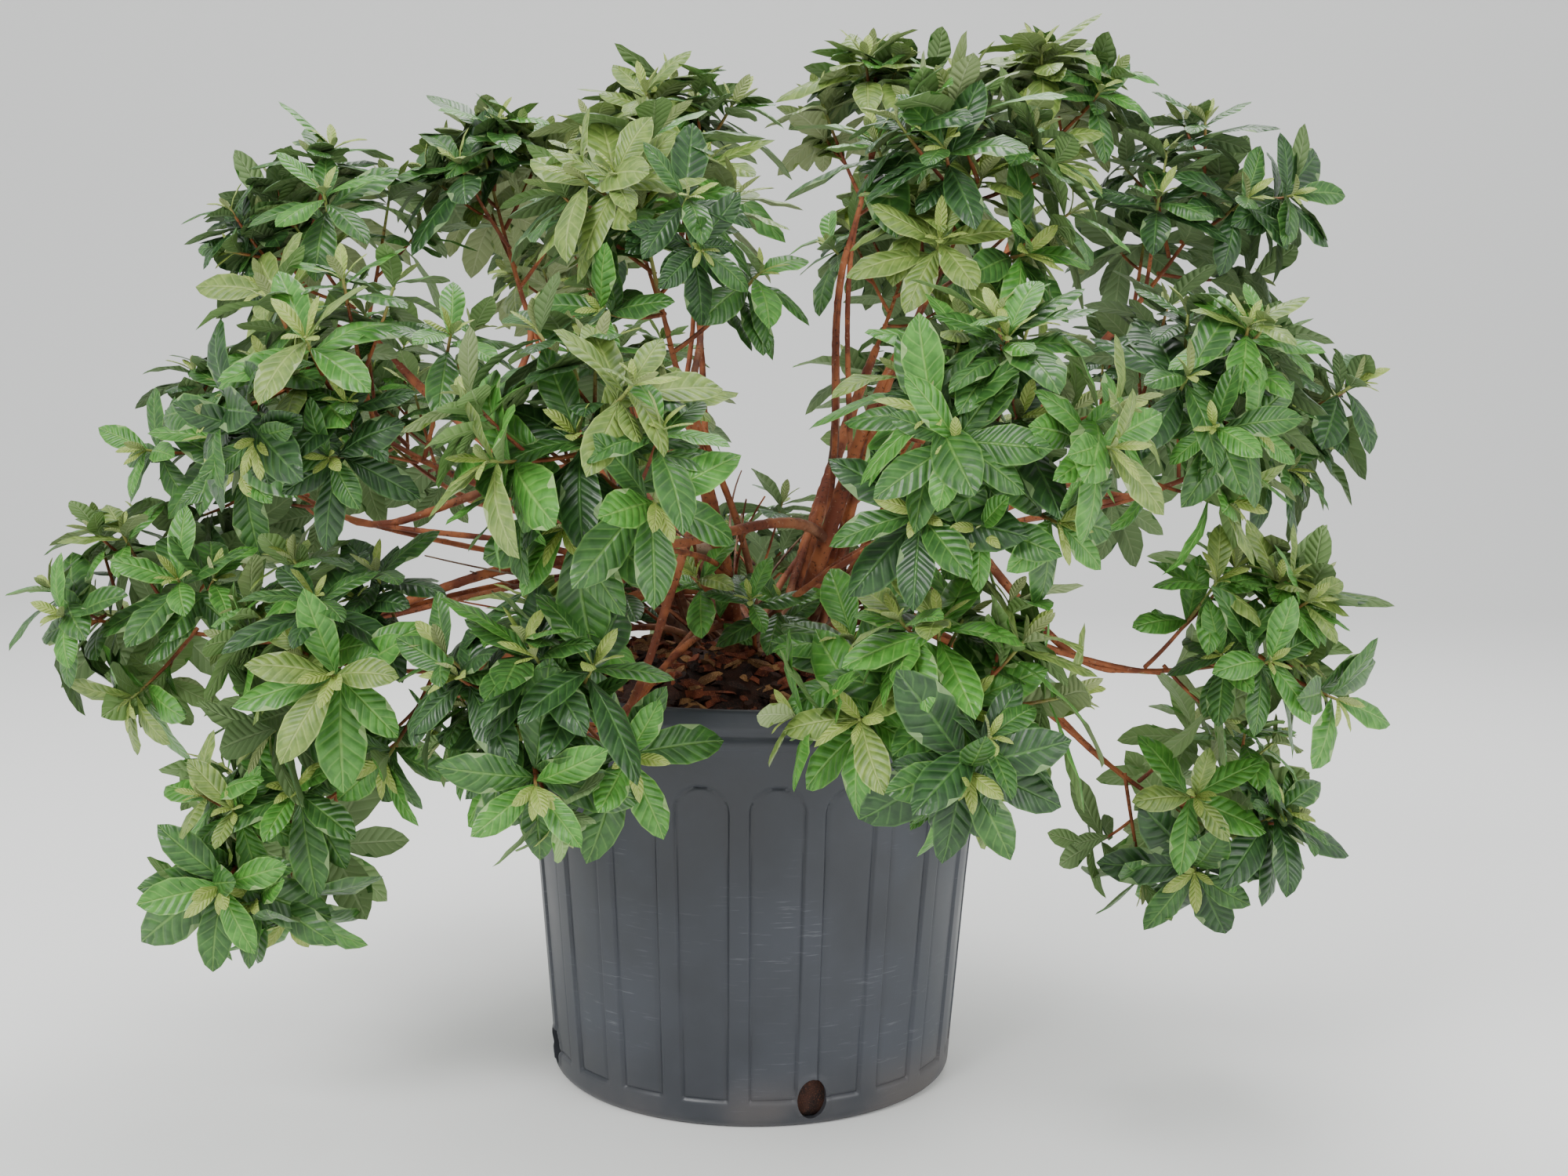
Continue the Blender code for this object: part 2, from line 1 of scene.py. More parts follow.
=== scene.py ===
# %% [markdown]
# A potted evergreen azalea, in cells.
# The real plant is a rounded shrub with many thin stems, sold in a black plastic pot.
# The solids of the pot, soil, stems, boughs and foliage are loaded first as a fixed frame,
# and each step below puts a finer surface in the place that one of them holds.

# %% Load the frame
import json
import math

import bpy
import numpy as np
from mathutils import Matrix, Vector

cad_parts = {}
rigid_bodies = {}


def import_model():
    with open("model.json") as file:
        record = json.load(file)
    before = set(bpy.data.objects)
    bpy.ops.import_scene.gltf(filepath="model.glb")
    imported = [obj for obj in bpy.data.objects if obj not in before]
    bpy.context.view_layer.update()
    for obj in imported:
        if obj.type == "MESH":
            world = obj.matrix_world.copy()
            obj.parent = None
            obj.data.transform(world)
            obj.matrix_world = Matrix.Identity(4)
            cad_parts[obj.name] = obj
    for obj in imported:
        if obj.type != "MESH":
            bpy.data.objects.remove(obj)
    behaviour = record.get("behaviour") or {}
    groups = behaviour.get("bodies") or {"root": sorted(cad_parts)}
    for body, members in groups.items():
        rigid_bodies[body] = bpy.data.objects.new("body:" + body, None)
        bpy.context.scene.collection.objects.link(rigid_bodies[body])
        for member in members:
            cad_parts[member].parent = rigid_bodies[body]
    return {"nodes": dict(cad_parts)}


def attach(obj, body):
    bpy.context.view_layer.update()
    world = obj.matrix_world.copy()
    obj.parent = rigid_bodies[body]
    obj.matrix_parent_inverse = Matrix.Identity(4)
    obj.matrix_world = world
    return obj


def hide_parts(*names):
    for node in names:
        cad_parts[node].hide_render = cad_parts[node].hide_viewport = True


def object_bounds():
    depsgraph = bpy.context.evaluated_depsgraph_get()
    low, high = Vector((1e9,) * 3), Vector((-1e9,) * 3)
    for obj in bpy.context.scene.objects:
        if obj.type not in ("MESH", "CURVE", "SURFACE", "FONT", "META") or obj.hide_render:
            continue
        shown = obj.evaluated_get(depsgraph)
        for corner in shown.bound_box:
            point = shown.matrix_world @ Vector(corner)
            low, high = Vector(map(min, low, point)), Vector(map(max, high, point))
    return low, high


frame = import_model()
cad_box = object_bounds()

print("solids:", len(frame["nodes"]), "box:", cad_box)

# %% [markdown]
# The camera stands about a metre in front of the pot, a little above the rim, and looks
# slightly down. Its place comes from fitting a camera to the pot's rim and foot, so the
# same lens and tilt bring back the picture's perspective.

# %% Camera
CAMERA_PLACE = (0.0171, -1.10, 0.395)
CAMERA_DOWN = 5.60
CAMERA_ROLL = 0.56
SENSOR_WIDTH = 36.0
FOCAL_PIXELS = 2357
PICTURE_WIDTH_PIXELS = 2000

lens = bpy.data.cameras.new("camera")
lens.sensor_fit = "HORIZONTAL"
lens.sensor_width = SENSOR_WIDTH
lens.lens = SENSOR_WIDTH * FOCAL_PIXELS / PICTURE_WIDTH_PIXELS
camera = bpy.data.objects.new("camera", lens)
bpy.context.scene.collection.objects.link(camera)
tilt = Matrix.Rotation(math.radians(90.0 - CAMERA_DOWN), 4, "X")
roll = Matrix.Rotation(math.radians(CAMERA_ROLL), 4, "Z")
camera.matrix_world = Matrix.Translation(CAMERA_PLACE) @ tilt @ roll
bpy.context.scene.camera = camera
print("lens", round(lens.lens, 1), "mm")

# %% [markdown]
# Every material here is a small tree of nodes. Colours are written as the sRGB hex values
# that a paint program shows, and one function turns them to the linear values that light
# is worked out in. One more function adds a node: a socket that it is given is linked, a
# hex colour or a number is filled in, and the new node's output comes back.

# %% Helpers for materials
NOISE = "ShaderNodeTexNoise"
RANGE = "ShaderNodeMapRange"
MIX = "ShaderNodeMix"
MATH = "ShaderNodeMath"
S_CURVE = {"interpolation_type": "SMOOTHSTEP"}
OF_COLOUR = {"data_type": "RGBA"}
SHADER = "Principled BSDF"


def linear(hex_colour):
    """An sRGB hex value as linear RGBA: a channel c becomes ((c + 0.055) / 1.055) ** 2.4."""
    channels = [int(hex_colour[k:k + 2], 16) / 255.0 for k in (1, 3, 5)]
    return tuple(c / 12.92 if c <= 0.04045 else ((c + 0.055) / 1.055) ** 2.4
                 for c in channels) + (1.0,)


def add_node(tree, kind, sockets=None, output=0, **settings):
    """Adds a node with its settings, fills or links its sockets, and gives one output."""
    node = tree.nodes.new(kind)
    for name, value in settings.items():
        setattr(node, name, value)
    for key, value in (sockets or {}).items():
        if isinstance(value, bpy.types.NodeSocket):
            tree.links.new(value, node.inputs[key])
        else:
            node.inputs[key].default_value = linear(value) if isinstance(value, str) else value
    return node.outputs[output]


def new_material(name, roughness, ior):
    """A material with one Principled shader, and its tree."""
    material = bpy.data.materials.new(name)
    material.use_nodes = True
    shader = material.node_tree.nodes[SHADER]
    shader.inputs["Roughness"].default_value = roughness
    shader.inputs["IOR"].default_value = ior
    return material, material.node_tree


def feed_shader(material, sockets):
    """Links these outputs to the shader's sockets of those names."""
    tree = material.node_tree
    for name, output in sockets.items():
        tree.links.new(output, tree.nodes[SHADER].inputs[name])
    return material


# %% [markdown]
# A piece is made from whole arrays: its points, its four-sided faces and its triangles.
# foreach_set copies an array into the mesh in one step, which is many times faster than a
# loop over points. Each finished piece rides on the plant's one body.

# %% Helpers for meshes

def make_mesh(name, points, quads, triangles):
    """A mesh from points (n, 3), quads (m, 4) and triangles (k, 3)."""
    mesh = bpy.data.meshes.new(name)
    corners = np.concatenate([quads.ravel(), triangles.ravel()]).astype(np.int32)
    sizes = np.concatenate([np.full(len(quads), 4), np.full(len(triangles), 3)])
    starts = np.concatenate([[0], np.cumsum(sizes)[:-1]]).astype(np.int32)
    mesh.vertices.add(len(points))
    mesh.vertices.foreach_set("co", points.astype(np.float32).ravel())
    mesh.loops.add(len(corners))
    mesh.loops.foreach_set("vertex_index", corners)
    mesh.polygons.add(len(sizes))
    mesh.polygons.foreach_set("loop_start", starts)
    mesh.update(calc_edges=True)
    return mesh


def smooth(mesh, crisp_from):
    """Smooth shading, with edges that turn by more than this angle in degrees kept crisp."""
    mesh.shade_smooth()
    mesh.set_sharp_from_angle(angle=math.radians(crisp_from))
    return mesh


def add_piece(name, mesh, material, nodes=()):
    """An object for the mesh, riding on the plant, in the place of the named nodes."""
    mesh.materials.append(material)
    piece = bpy.data.objects.new(name, mesh)
    bpy.context.scene.collection.objects.link(piece)
    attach(piece, "root")
    if nodes:
        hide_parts(*nodes)
    print(name, len(mesh.loops) - 2 * len(mesh.polygons), "triangles")


def unit(vectors):
    """The vectors, each scaled to length 1."""
    vectors = np.asarray(vectors, dtype=float)
    return vectors / np.maximum(np.linalg.norm(vectors, axis=-1, keepdims=True), 1e-12)


def smoothstep(low, high, value):
    """0 below low, 1 above high, and an even S between them."""
    share = np.clip((value - low) / (high - low), 0.0, 1.0)
    return share * share * (3.0 - 2.0 * share)


# %% [markdown]
# Two surfaces come up again and again: a tube, whose rings of points follow one another,
# and a fan of triangles that closes a ring to one point. A thing turned on a lathe is both:
# a grid of distance along its profile and bearing round its axis, closed at its two poles.

# %% Helpers for rings and turned surfaces

def tube_faces(rings, sides, first):
    """The quads between rings of points that follow one another from index first."""
    ring = np.arange(rings - 1)[:, None] * sides
    side = np.arange(sides)[None, :]
    after = (side + 1) % sides
    low, low_after = ring + side, ring + after
    quads = np.stack([low, low_after, low_after + sides, low + sides], axis=-1)
    return quads.reshape(-1, 4) + first


def fan_faces(pole, ring_first, sides, flipped):
    """The triangles that close a ring of points to a pole."""
    side = np.arange(sides)
    after = (side + 1) % sides
    order = (side, after) if flipped else (after, side)
    return np.stack([np.full(sides, pole), ring_first + order[0], ring_first + order[1]], axis=-1)


def turned(out, height, bearing):
    """Points at this distance out from the axis, height and bearing."""
    return np.stack([out * np.cos(bearing), out * np.sin(bearing), height + 0.0 * bearing], -1)


def turned_mesh(name, grid, first_pole, last_pole):
    """A mesh of rows of points turned round the axis, closed at its first and last row."""
    rows, sides = grid.shape[:2]
    pole = rows * sides
    points = np.concatenate([grid.reshape(-1, 3), [first_pole, last_pole]])
    caps = [fan_faces(pole, 0, sides, True), fan_faces(pole + 1, pole - sides, sides, False)]
    return make_mesh(name, points, tube_faces(rows, sides, 0)[:, ::-1], np.concatenate(caps))


# %% [markdown]
# The pot is a blow-moulded black polyethylene nursery pot of about 11 litres. It tapers
# towards its foot, and arched panels are pressed into its wall between narrow ribs. Its
# sizes repeat those of the solid pot. The rim has been bent down on one side by handling.

# %% Pot sizes
POT_HEIGHT = 0.236
RIM_RADIUS = 0.140
RIM_BAND = 0.022
RIM_LIP = 0.0045
BODY_TOP_RADIUS = 0.1365
FOOT_RADIUS = 0.1197
FOOT_CORNER = 0.006
WALL = 0.0032
FLOOR = 0.004
RIM_SAG = 0.022
SAG_POWER = 2.4
SAG_FROM = 0.110
SAG_INNER_RADIUS = 0.060


def inner_radius(height):
    """The inside of the wall: one straight taper from floor to rim."""
    low = FOOT_RADIUS - WALL
    return low + (RIM_RADIUS - RIM_LIP - low) * (height - FLOOR) / (POT_HEIGHT - FLOOR)


def outer_radius(height):
    """The outside of the wall below the rim's band, another straight taper."""
    share = (height - FOOT_CORNER) / (POT_HEIGHT - RIM_BAND - FOOT_CORNER)
    return FOOT_RADIUS + (BODY_TOP_RADIUS - FOOT_RADIUS) * share


def sag(points):
    """Lowers the side at +X by the cosine of the bearing to a power, most at the rim."""
    radius = np.hypot(points[..., 0], points[..., 1])
    facing = np.clip(points[..., 0] / np.maximum(radius, 1e-9), 0.0, 1.0)
    share = smoothstep(SAG_FROM, POT_HEIGHT - RIM_BAND, points[..., 2])
    share = share * smoothstep(SAG_INNER_RADIUS, FOOT_RADIUS, radius)
    lowered = points.copy()
    lowered[..., 2] -= RIM_SAG * share * facing ** SAG_POWER
    return lowered


# %% [markdown]
# The panels and the lips of the drain holes are pressed relief, so each is a depth at a
# bearing and a height. For a panel the formula measures how far a point is inside the
# nearest arch, and the depth rises in an even S over the arch's edge, with a fine groove
# just inside it. For a lip it measures the oval distance to the nearest hole's middle.

# %% Relief of the wall
PANEL_COUNT = 20
PANEL_FIRST_AZIMUTH = -83.4
PANEL_BOTTOM = 0.014
PANEL_TOP = 0.195
PANEL_HALF_WIDTH_LOW = 0.0140
PANEL_HALF_WIDTH_HIGH = 0.0165
PANEL_DEPTH = 0.0011
PANEL_EDGE = 0.0018
GROOVE_DEPTH = 0.0006
GROOVE_HALF_WIDTH = 0.45 * PANEL_EDGE
HOLE_COUNT = 4
HOLE_FIRST_AZIMUTH = -73.0
HOLE_HALF_WIDTH = 0.0085
HOLE_HALF_HEIGHT = 0.0115
LIP_HEIGHT = 0.0010
LIP_PLACE = 1.08
LIP_SPREAD = 0.16


def from_nearest(bearing, count, first_azimuth):
    """The angle from the nearest of some features spaced evenly round the pot."""
    pitch = 2.0 * np.pi / count
    return np.mod(bearing - math.radians(first_azimuth) + 0.5 * pitch, pitch) - 0.5 * pitch


def panel_depth(bearing, height):
    """How far a point of the wall is pressed in: a step and a groove along each arch."""
    across = np.abs(from_nearest(bearing, PANEL_COUNT, PANEL_FIRST_AZIMUTH)) * outer_radius(height)
    spring = PANEL_TOP - PANEL_HALF_WIDTH_HIGH
    rise = np.clip((height - PANEL_BOTTOM) / (spring - PANEL_BOTTOM), 0.0, 1.0)
    half = PANEL_HALF_WIDTH_LOW + (PANEL_HALF_WIDTH_HIGH - PANEL_HALF_WIDTH_LOW) * rise
    over = np.maximum(height - spring, 0.0)
    inside = np.minimum(half - np.hypot(across, over), height - PANEL_BOTTOM)
    step = PANEL_DEPTH * smoothstep(0.0, PANEL_EDGE, inside)
    return step + GROOVE_DEPTH * np.exp(-((inside - PANEL_EDGE) / GROOVE_HALF_WIDTH) ** 2)


def hole_lip(bearing, height):
    """How far a point stands out in the low ring round each drain hole."""
    across = from_nearest(bearing, HOLE_COUNT, HOLE_FIRST_AZIMUTH) * FOOT_RADIUS
    up = height - FLOOR - HOLE_HALF_HEIGHT
    oval = np.hypot(across / HOLE_HALF_WIDTH, up / HOLE_HALF_HEIGHT)
    return LIP_HEIGHT * np.exp(-((oval - LIP_PLACE) / LIP_SPREAD) ** 2)


# %% [markdown]
# The pot's profile runs from its floor up the inside, over the rolled rim, down the rim's
# stepped band and the wall, and round the foot. Rows crowd together at the arches and at
# the foot, and columns at the panels' edges, because the surface turns most there.

# %% Pot surface
RIM_STEPS = ((0.0, 0.0090), (0.0002, 0.0125), (0.0012, 0.0136), (0.0013, 0.0150),
             (0.0005, 0.0165), (0.0004, 0.0208), (0.0010, 0.0218), (0.0029, 0.0220))
WALL_ROWS = ((POT_HEIGHT - RIM_BAND - 0.0015, PANEL_TOP + 0.0015, 6),
             (PANEL_TOP + 0.0005, PANEL_TOP - 0.0200, 24),
             (PANEL_TOP - 0.0240, 0.0380, 26),
             (0.0360, FOOT_CORNER + 0.0010, 24))
COLUMN_SHARES = (0.0, 0.42, 0.85, 1.0)
COLUMN_DEGREES = (0.0, 6.1, 7.5, 9.0)
COLUMNS_PER_HALF_PANEL = 20


def arc(middle, radius, first, last, count):
    """Points (distance out, height) along an arc, by bearing in degrees."""
    angle = np.radians(np.linspace(first, last, count))
    return np.stack([middle[0] + radius * np.cos(angle), middle[1] + radius * np.sin(angle)], -1)


def pot_profile():
    """Rows (distance out, height, share of relief) from the floor over the rim to the foot."""
    heights = np.linspace(FLOOR, POT_HEIGHT - 0.0020, 8)
    inside = np.stack([inner_radius(heights), heights], -1)
    edge = 0.5 * RIM_LIP
    top = arc((RIM_RADIUS - edge, POT_HEIGHT - edge), edge, 165.0, 0.0, 9)
    band = np.array([RIM_RADIUS, POT_HEIGHT]) - np.array(RIM_STEPS)
    rows = np.concatenate([np.linspace(*run) for run in WALL_ROWS])
    body = np.stack([outer_radius(rows), rows], -1)
    corner = arc((FOOT_RADIUS - FOOT_CORNER, FOOT_CORNER), FOOT_CORNER, 0.0, -90.0, 8)
    plain = np.concatenate([inside, top, band])
    relief = np.concatenate([np.zeros(len(plain)), np.ones(len(body)), np.zeros(len(corner))])
    line = np.concatenate([plain, body, corner])
    return np.concatenate([line, relief[:, None]], axis=1)


def pot_bearings():
    """Bearings round the pot, crowded where the panels' edges lie."""
    share = np.linspace(0.0, 1.0, COLUMNS_PER_HALF_PANEL + 1)
    half = np.interp(share, COLUMN_SHARES, COLUMN_DEGREES)
    local = np.concatenate([-half[:0:-1], half[:-1]])
    starts = PANEL_FIRST_AZIMUTH + 360.0 / PANEL_COUNT * np.arange(PANEL_COUNT)
    return np.radians((starts[:, None] + local[None, :]).ravel())


def pot_mesh():
    """The pot: its profile turned through every bearing, less the relief's depth."""
    out, height, relief = (column[:, None] for column in pot_profile().T)
    bearing = pot_bearings()[None, :]
    pressed = relief * (panel_depth(bearing, height) - hole_lip(bearing, height))
    grid = turned(out - pressed, height, bearing)
    return turned_mesh("pot", grid, (0.0, 0.0, FLOOR), (0.0, 0.0, 0.0))


# %% [markdown]
# Four drain holes are punched through the wall at its foot. They are cut with a Boolean
# before the rim is bent, because the cutters are simple ovals that stand square to the wall.

# %% Cut the drain holes and bend the rim
CUTTER_SIDES = 24
CUTTER_REACH = 0.012
HOLE_LIFT = 0.0005
POT_CRISP_FROM = 42.0


def hole_cutter(bearing):
    """An oval plug that points straight out at this bearing: two ovals and their middles."""
    angle = np.linspace(0.0, 2.0 * np.pi, CUTTER_SIDES, endpoint=False)
    across = HOLE_HALF_WIDTH * np.cos(angle)
    height = FLOOR + HOLE_HALF_HEIGHT + HOLE_LIFT + HOLE_HALF_HEIGHT * np.sin(angle)
    outward = np.array([math.cos(bearing), math.sin(bearing)])
    along = np.array([-outward[1], outward[0]])
    rings = []
    for distance in (FOOT_RADIUS - CUTTER_REACH, FOOT_RADIUS + CUTTER_REACH):
        flat = distance * outward[None, :] + across[:, None] * along[None, :]
        rings.append(np.concatenate([flat, height[:, None]], axis=1))
    points = np.concatenate(rings + [np.array([ring.mean(axis=0) for ring in rings])])
    pole = 2 * CUTTER_SIDES
    caps = [fan_faces(pole, 0, CUTTER_SIDES, False),
            fan_faces(pole + 1, CUTTER_SIDES, CUTTER_SIDES, True)]
    return make_mesh("cutter", points, tube_faces(2, CUTTER_SIDES, 0), np.concatenate(caps))


def cut_with(mesh, cutters):
    """The mesh with every cutter taken out of it."""
    tools = bpy.data.collections.new("cutters")
    bpy.context.scene.collection.children.link(tools)
    for cutter in cutters:
        tools.objects.link(bpy.data.objects.new("cutter", cutter))
    holder = bpy.data.objects.new("holder", mesh)
    bpy.context.scene.collection.objects.link(holder)
    boolean = holder.modifiers.new("cut", "BOOLEAN")
    boolean.operation = "DIFFERENCE"
    boolean.operand_type = "COLLECTION"
    boolean.collection = tools
    boolean.solver = "EXACT"
    bpy.context.view_layer.update()
    depsgraph = bpy.context.evaluated_depsgraph_get()
    result = bpy.data.meshes.new_from_object(holder.evaluated_get(depsgraph))
    for item in list(tools.objects) + [holder]:
        bpy.data.objects.remove(item, do_unlink=True)
    bpy.data.collections.remove(tools)
    result.materials.clear()
    return result


hole_bearings = np.radians(HOLE_FIRST_AZIMUTH + 360.0 / HOLE_COUNT * np.arange(HOLE_COUNT))
pot = cut_with(pot_mesh(), [hole_cutter(bearing) for bearing in hole_bearings])
flat = np.empty(3 * len(pot.vertices), dtype=np.float32)
pot.vertices.foreach_get("co", flat)
bent = sag(flat.reshape(-1, 3).astype(float))
pot.vertices.foreach_set("co", bent.astype(np.float32).ravel())
smooth(pot, POT_CRISP_FROM)
sagged_top = bent[bent[:, 0] > RIM_RADIUS - RIM_LIP, 2].max()
print("rim bent down by", round(POT_HEIGHT - sagged_top, 4), "m")

# %% [markdown]
# Moulded polyethylene that has stood outdoors is a satin blue-black. The mould leaves a
# very fine grain, handling leaves pale scuffs that run round the pot, and splashed soil
# leaves dust near the foot. The grain of a real pot is a tenth of a millimetre; it is drawn
# at 0.6 mm here, as coarse as it needs to be to show. Scuffs are 17 mm long and 1 mm high,
# which is 60 and 900 of them to the metre, and clouds of paler grey are 70 mm across.

# %% Pot material: moulded polyethylene
GRAIN_SIZE = 0.0006
CLOUD_SCALE = 14.0
SCUFF_SCALE = (60.0, 60.0, 900.0)
DUST_TOP = 0.040


def pot_material():
    """Moulded black polyethylene with a fine grain, scuffs and a little dust."""
    material, tree = new_material("moulded_black_polyethylene", 0.42, 1.51)
    place = add_node(tree, "ShaderNodeTexCoord", output="Object")
    cloud = add_node(tree, NOISE, {"Vector": place, "Scale": CLOUD_SCALE, "Detail": 4.0}, "Fac")
    grain = add_node(tree, NOISE, {"Vector": place, "Scale": 1.0 / GRAIN_SIZE, "Detail": 2.0},
                     "Fac")
    stretch = add_node(tree, "ShaderNodeMapping", {"Vector": place, "Scale": SCUFF_SCALE})
    scuff = add_node(tree, NOISE, {"Vector": stretch, "Scale": 1.0, "Detail": 3.0}, "Fac")
    scuff = add_node(tree, RANGE, {0: scuff, 1: 0.60, 2: 0.72}, **S_CURVE)
    worn = add_node(tree, RANGE, {0: cloud, 1: 0.45, 2: 0.65}, **S_CURVE)
    scuffed = add_node(tree, MATH, {0: scuff, 1: worn}, operation="MULTIPLY")
    height = add_node(tree, "ShaderNodeSeparateXYZ", {0: place}, "Z")
    low = add_node(tree, RANGE, {0: height, 1: DUST_TOP, 2: 0.0, 3: 0.0, 4: 0.55}, **S_CURVE)
    patchy = add_node(tree, RANGE, {0: cloud, 1: 0.35, 2: 0.70}, **S_CURVE)
    dust = add_node(tree, MATH, {0: low, 1: patchy}, operation="MULTIPLY")
    cloudy = add_node(tree, RANGE, {0: cloud, 1: 0.30, 2: 0.70}, **S_CURVE)
    colour = add_node(tree, MIX, {0: cloudy, 6: "#2C2F35", 7: "#3A3E46"}, 2, **OF_COLOUR)
    pale = add_node(tree, MATH, {0: scuffed, 1: 0.35}, operation="MULTIPLY")
    colour = add_node(tree, MIX, {0: pale, 6: colour, 7: "#7C7F84"}, 2, **OF_COLOUR)
    colour = add_node(tree, MIX, {0: dust, 6: colour, 7: "#5A5048"}, 2, **OF_COLOUR)
    satin = add_node(tree, RANGE, {0: cloud, 1: 0.30, 2: 0.70, 3: 0.36, 4: 0.50}, **S_CURVE)
    dulled = add_node(tree, MATH, {0: scuffed, 1: 0.18}, operation="MULTIPLY")
    rough = add_node(tree, MATH, {0: satin, 1: dulled}, operation="ADD")
    bump = add_node(tree, "ShaderNodeBump",
                    {"Height": grain, "Strength": 0.25, "Distance": 0.00025})
    return feed_shader(material, {"Base Color": colour, "Roughness": rough, "Normal": bump})


add_piece("nursery_pot", pot, pot_material(), ["pot"])

# %% [markdown]
# The soil is bark mulch: a low mound of fines with hundreds of chips lying on it. The mound
# is a turned surface with a rough top, and its sides and foot follow the pot's inside, so
# it also shows behind the drain holes. Its roughness is a sum of sine waves in seeded
# directions, which is smooth, never repeats in sight, and comes out the same every time.

# %% Soil bed
SOIL_TOP = 0.256
SOIL_EDGE = 0.228
SOIL_FLAT_RADIUS = 0.058
SOIL_CLEAR = 0.0005
SOIL_FOOT = FLOOR + 0.0006
BED_SINK = 0.0030
COARSE_LUMP, COARSE_RISE = 0.009, 0.0016
FINE_LUMP, FINE_RISE = 0.0035, 0.0010
SEED = 7


def mound_height(radius):
    """The soil's height: flat in the middle, then an even S down to the edge."""
    edge = inner_radius(SOIL_EDGE)
    return SOIL_TOP - (SOIL_TOP - SOIL_EDGE) * smoothstep(SOIL_FLAT_RADIUS, edge, radius)


def lumps(points, size, seed):
    """A smooth uneven value in about -1 to 1: a sum of sine waves in seeded directions."""
    draw = np.random.default_rng(seed)
    total = np.zeros(points.shape[:-1])
    for wave in range(7):
        wave = unit(draw.normal(size=3)) * 2.0 * np.pi / (size * draw.uniform(0.6, 1.6))
        total += np.sin(points @ wave + draw.uniform(0.0, 6.28))
    return total / 3.0


def soil_mesh():
    """Rows from the mound's middle to its edge, down the pot's inside and under it."""
    bearing = np.linspace(0.0, 2.0 * np.pi, 180, endpoint=False)[None, :]
    out = np.linspace(0.002, inner_radius(SOIL_EDGE) - SOIL_CLEAR, 46)
    top = np.stack([out, mound_height(out) - BED_SINK], -1)
    heights = np.linspace(SOIL_EDGE - BED_SINK - 0.004, FLOOR + 0.004, 24)
    wall = np.stack([inner_radius(heights) - SOIL_CLEAR, heights], -1)
    foot = np.array([(inner_radius(FLOOR) - 0.002, SOIL_FOOT)])
    radius, height = (column[:, None] for column in np.concatenate([top, wall, foot]).T)
    grid = turned(radius, height, bearing)
    rough = (COARSE_RISE * lumps(grid, COARSE_LUMP, SEED)
             + FINE_RISE * lumps(grid, FINE_LUMP, SEED + 1))
    grid[:len(top) - 1, :, 2] += rough[:len(top) - 1]
    sides = slice(len(top), -1)
    grid[sides, :, :2] *= (1.0 - np.abs(rough[sides]) / radius[sides])[..., None]
    mesh = turned_mesh("soil", sag(grid), (0.0, 0.0, SOIL_TOP - BED_SINK), (0.0, 0.0, SOIL_FOOT))
    mesh.shade_smooth()
    return mesh


# %% [markdown]
# Weathered bark is fibrous and matt. Its raised fibres are paler, and the hollows between them are
# left dark, which is painted shade.
# Its fibres are a few tenths of a millimetre wide; they are drawn at 0.8 mm, as coarse as they need
# to be to show.

# %% Mulch material: weathered bark
FIBRE_SIZE = 0.0008
MULCH_PATCH = 0.010


def mulch_material(name, dark, mid, light):
    """Weathered bark: two browns in patches, lighter along its raised fibres, with painted shade in
    the hollows between them.
    """
    material, tree = new_material(name, 0.88, 1.45)
    place = add_node(tree, "ShaderNodeTexCoord", output="Object")
    fibre = add_node(tree, NOISE, {"Vector": place, "Scale": 1.0 / FIBRE_SIZE, "Detail": 3.0},
                     "Fac")
    patch = add_node(tree, NOISE, {"Vector": place, "Scale": 1.0 / MULCH_PATCH, "Detail": 2.0},
                     "Fac")
    patch = add_node(tree, RANGE, {0: patch, 1: 0.35, 2: 0.65}, **S_CURVE)
    colour = add_node(tree, MIX, {0: patch, 6: dark, 7: mid}, 2, **OF_COLOUR)
    # Raised fibres are made paler, and the hollows between them stay dark as painted shade.
    paler_fibres_and_hollow_shade = add_node(tree, RANGE, {0: fibre, 1: 0.50, 2: 0.75, 3: 0.0, 4: 0.8}, **S_CURVE)
    colour = add_node(tree, MIX, {0: paler_fibres_and_hollow_shade, 6: colour, 7: light}, 2, **OF_COLOUR)
    bump = add_node(tree, "ShaderNodeBump", {"Height": fibre, "Strength": 0.6, "Distance": 0.0008})
    return feed_shader(material, {"Base Color": colour, "Normal": bump})


add_piece("mulch_bed", soil_mesh(), mulch_material("bark_fines", "#1E110C", "#3A2016", "#5A3524"),
          ["soil"])

# %% [markdown]
# Each chip is a flat six-sided splinter: two rings of points of uneven radius, the upper
# one smaller, closed at both ends. All chips of one colour are worked out at once as one
# array and joined in one piece, which is how thousands of small things stay light.

# %% Bark chips
CHIP_GROUPS = (
    ("chips_red", 520, ("#4A2216", "#83432B", "#A9623F")),
    ("chips_tan", 260, ("#6B4A30", "#9A7048", "#BE9466")),
    ("chips_dark", 420, ("#1C110D", "#3B2219", "#5B3828")),
)
CHIP_SIDES = 6
CHIP_UNEVEN = (0.75, 1.2)
CHIP_HALF_SIZES = ((0.0035, 0.0095), (0.0020, 0.0048), (0.0007, 0.0020))
CHIP_TOP_SHARE = 0.78
CHIP_CROWN = 1.1
CHIP_LEAN = 32.0
CHIP_EDGE = 0.1275
CHIP_DROP = (0.0005, 0.0028)
CHIP_CRISP_FROM = 35.0


def random_turns(draw, count, lean):
    """Rotation matrices: a free turn about Z, then a lean of up to this many degrees."""
    spin = draw.uniform(0.0, 2.0 * np.pi, count)
    tip = np.radians(draw.uniform(-lean, lean, (count, 2)))
    matrices = []
    for angle, (first, second) in zip(spin, tip):
        leaned = Matrix.Rotation(first, 3, "X") @ Matrix.Rotation(second, 3, "Y")
        matrices.append(np.array(leaned @ Matrix.Rotation(angle, 3, "Z")))
    return np.array(matrices)


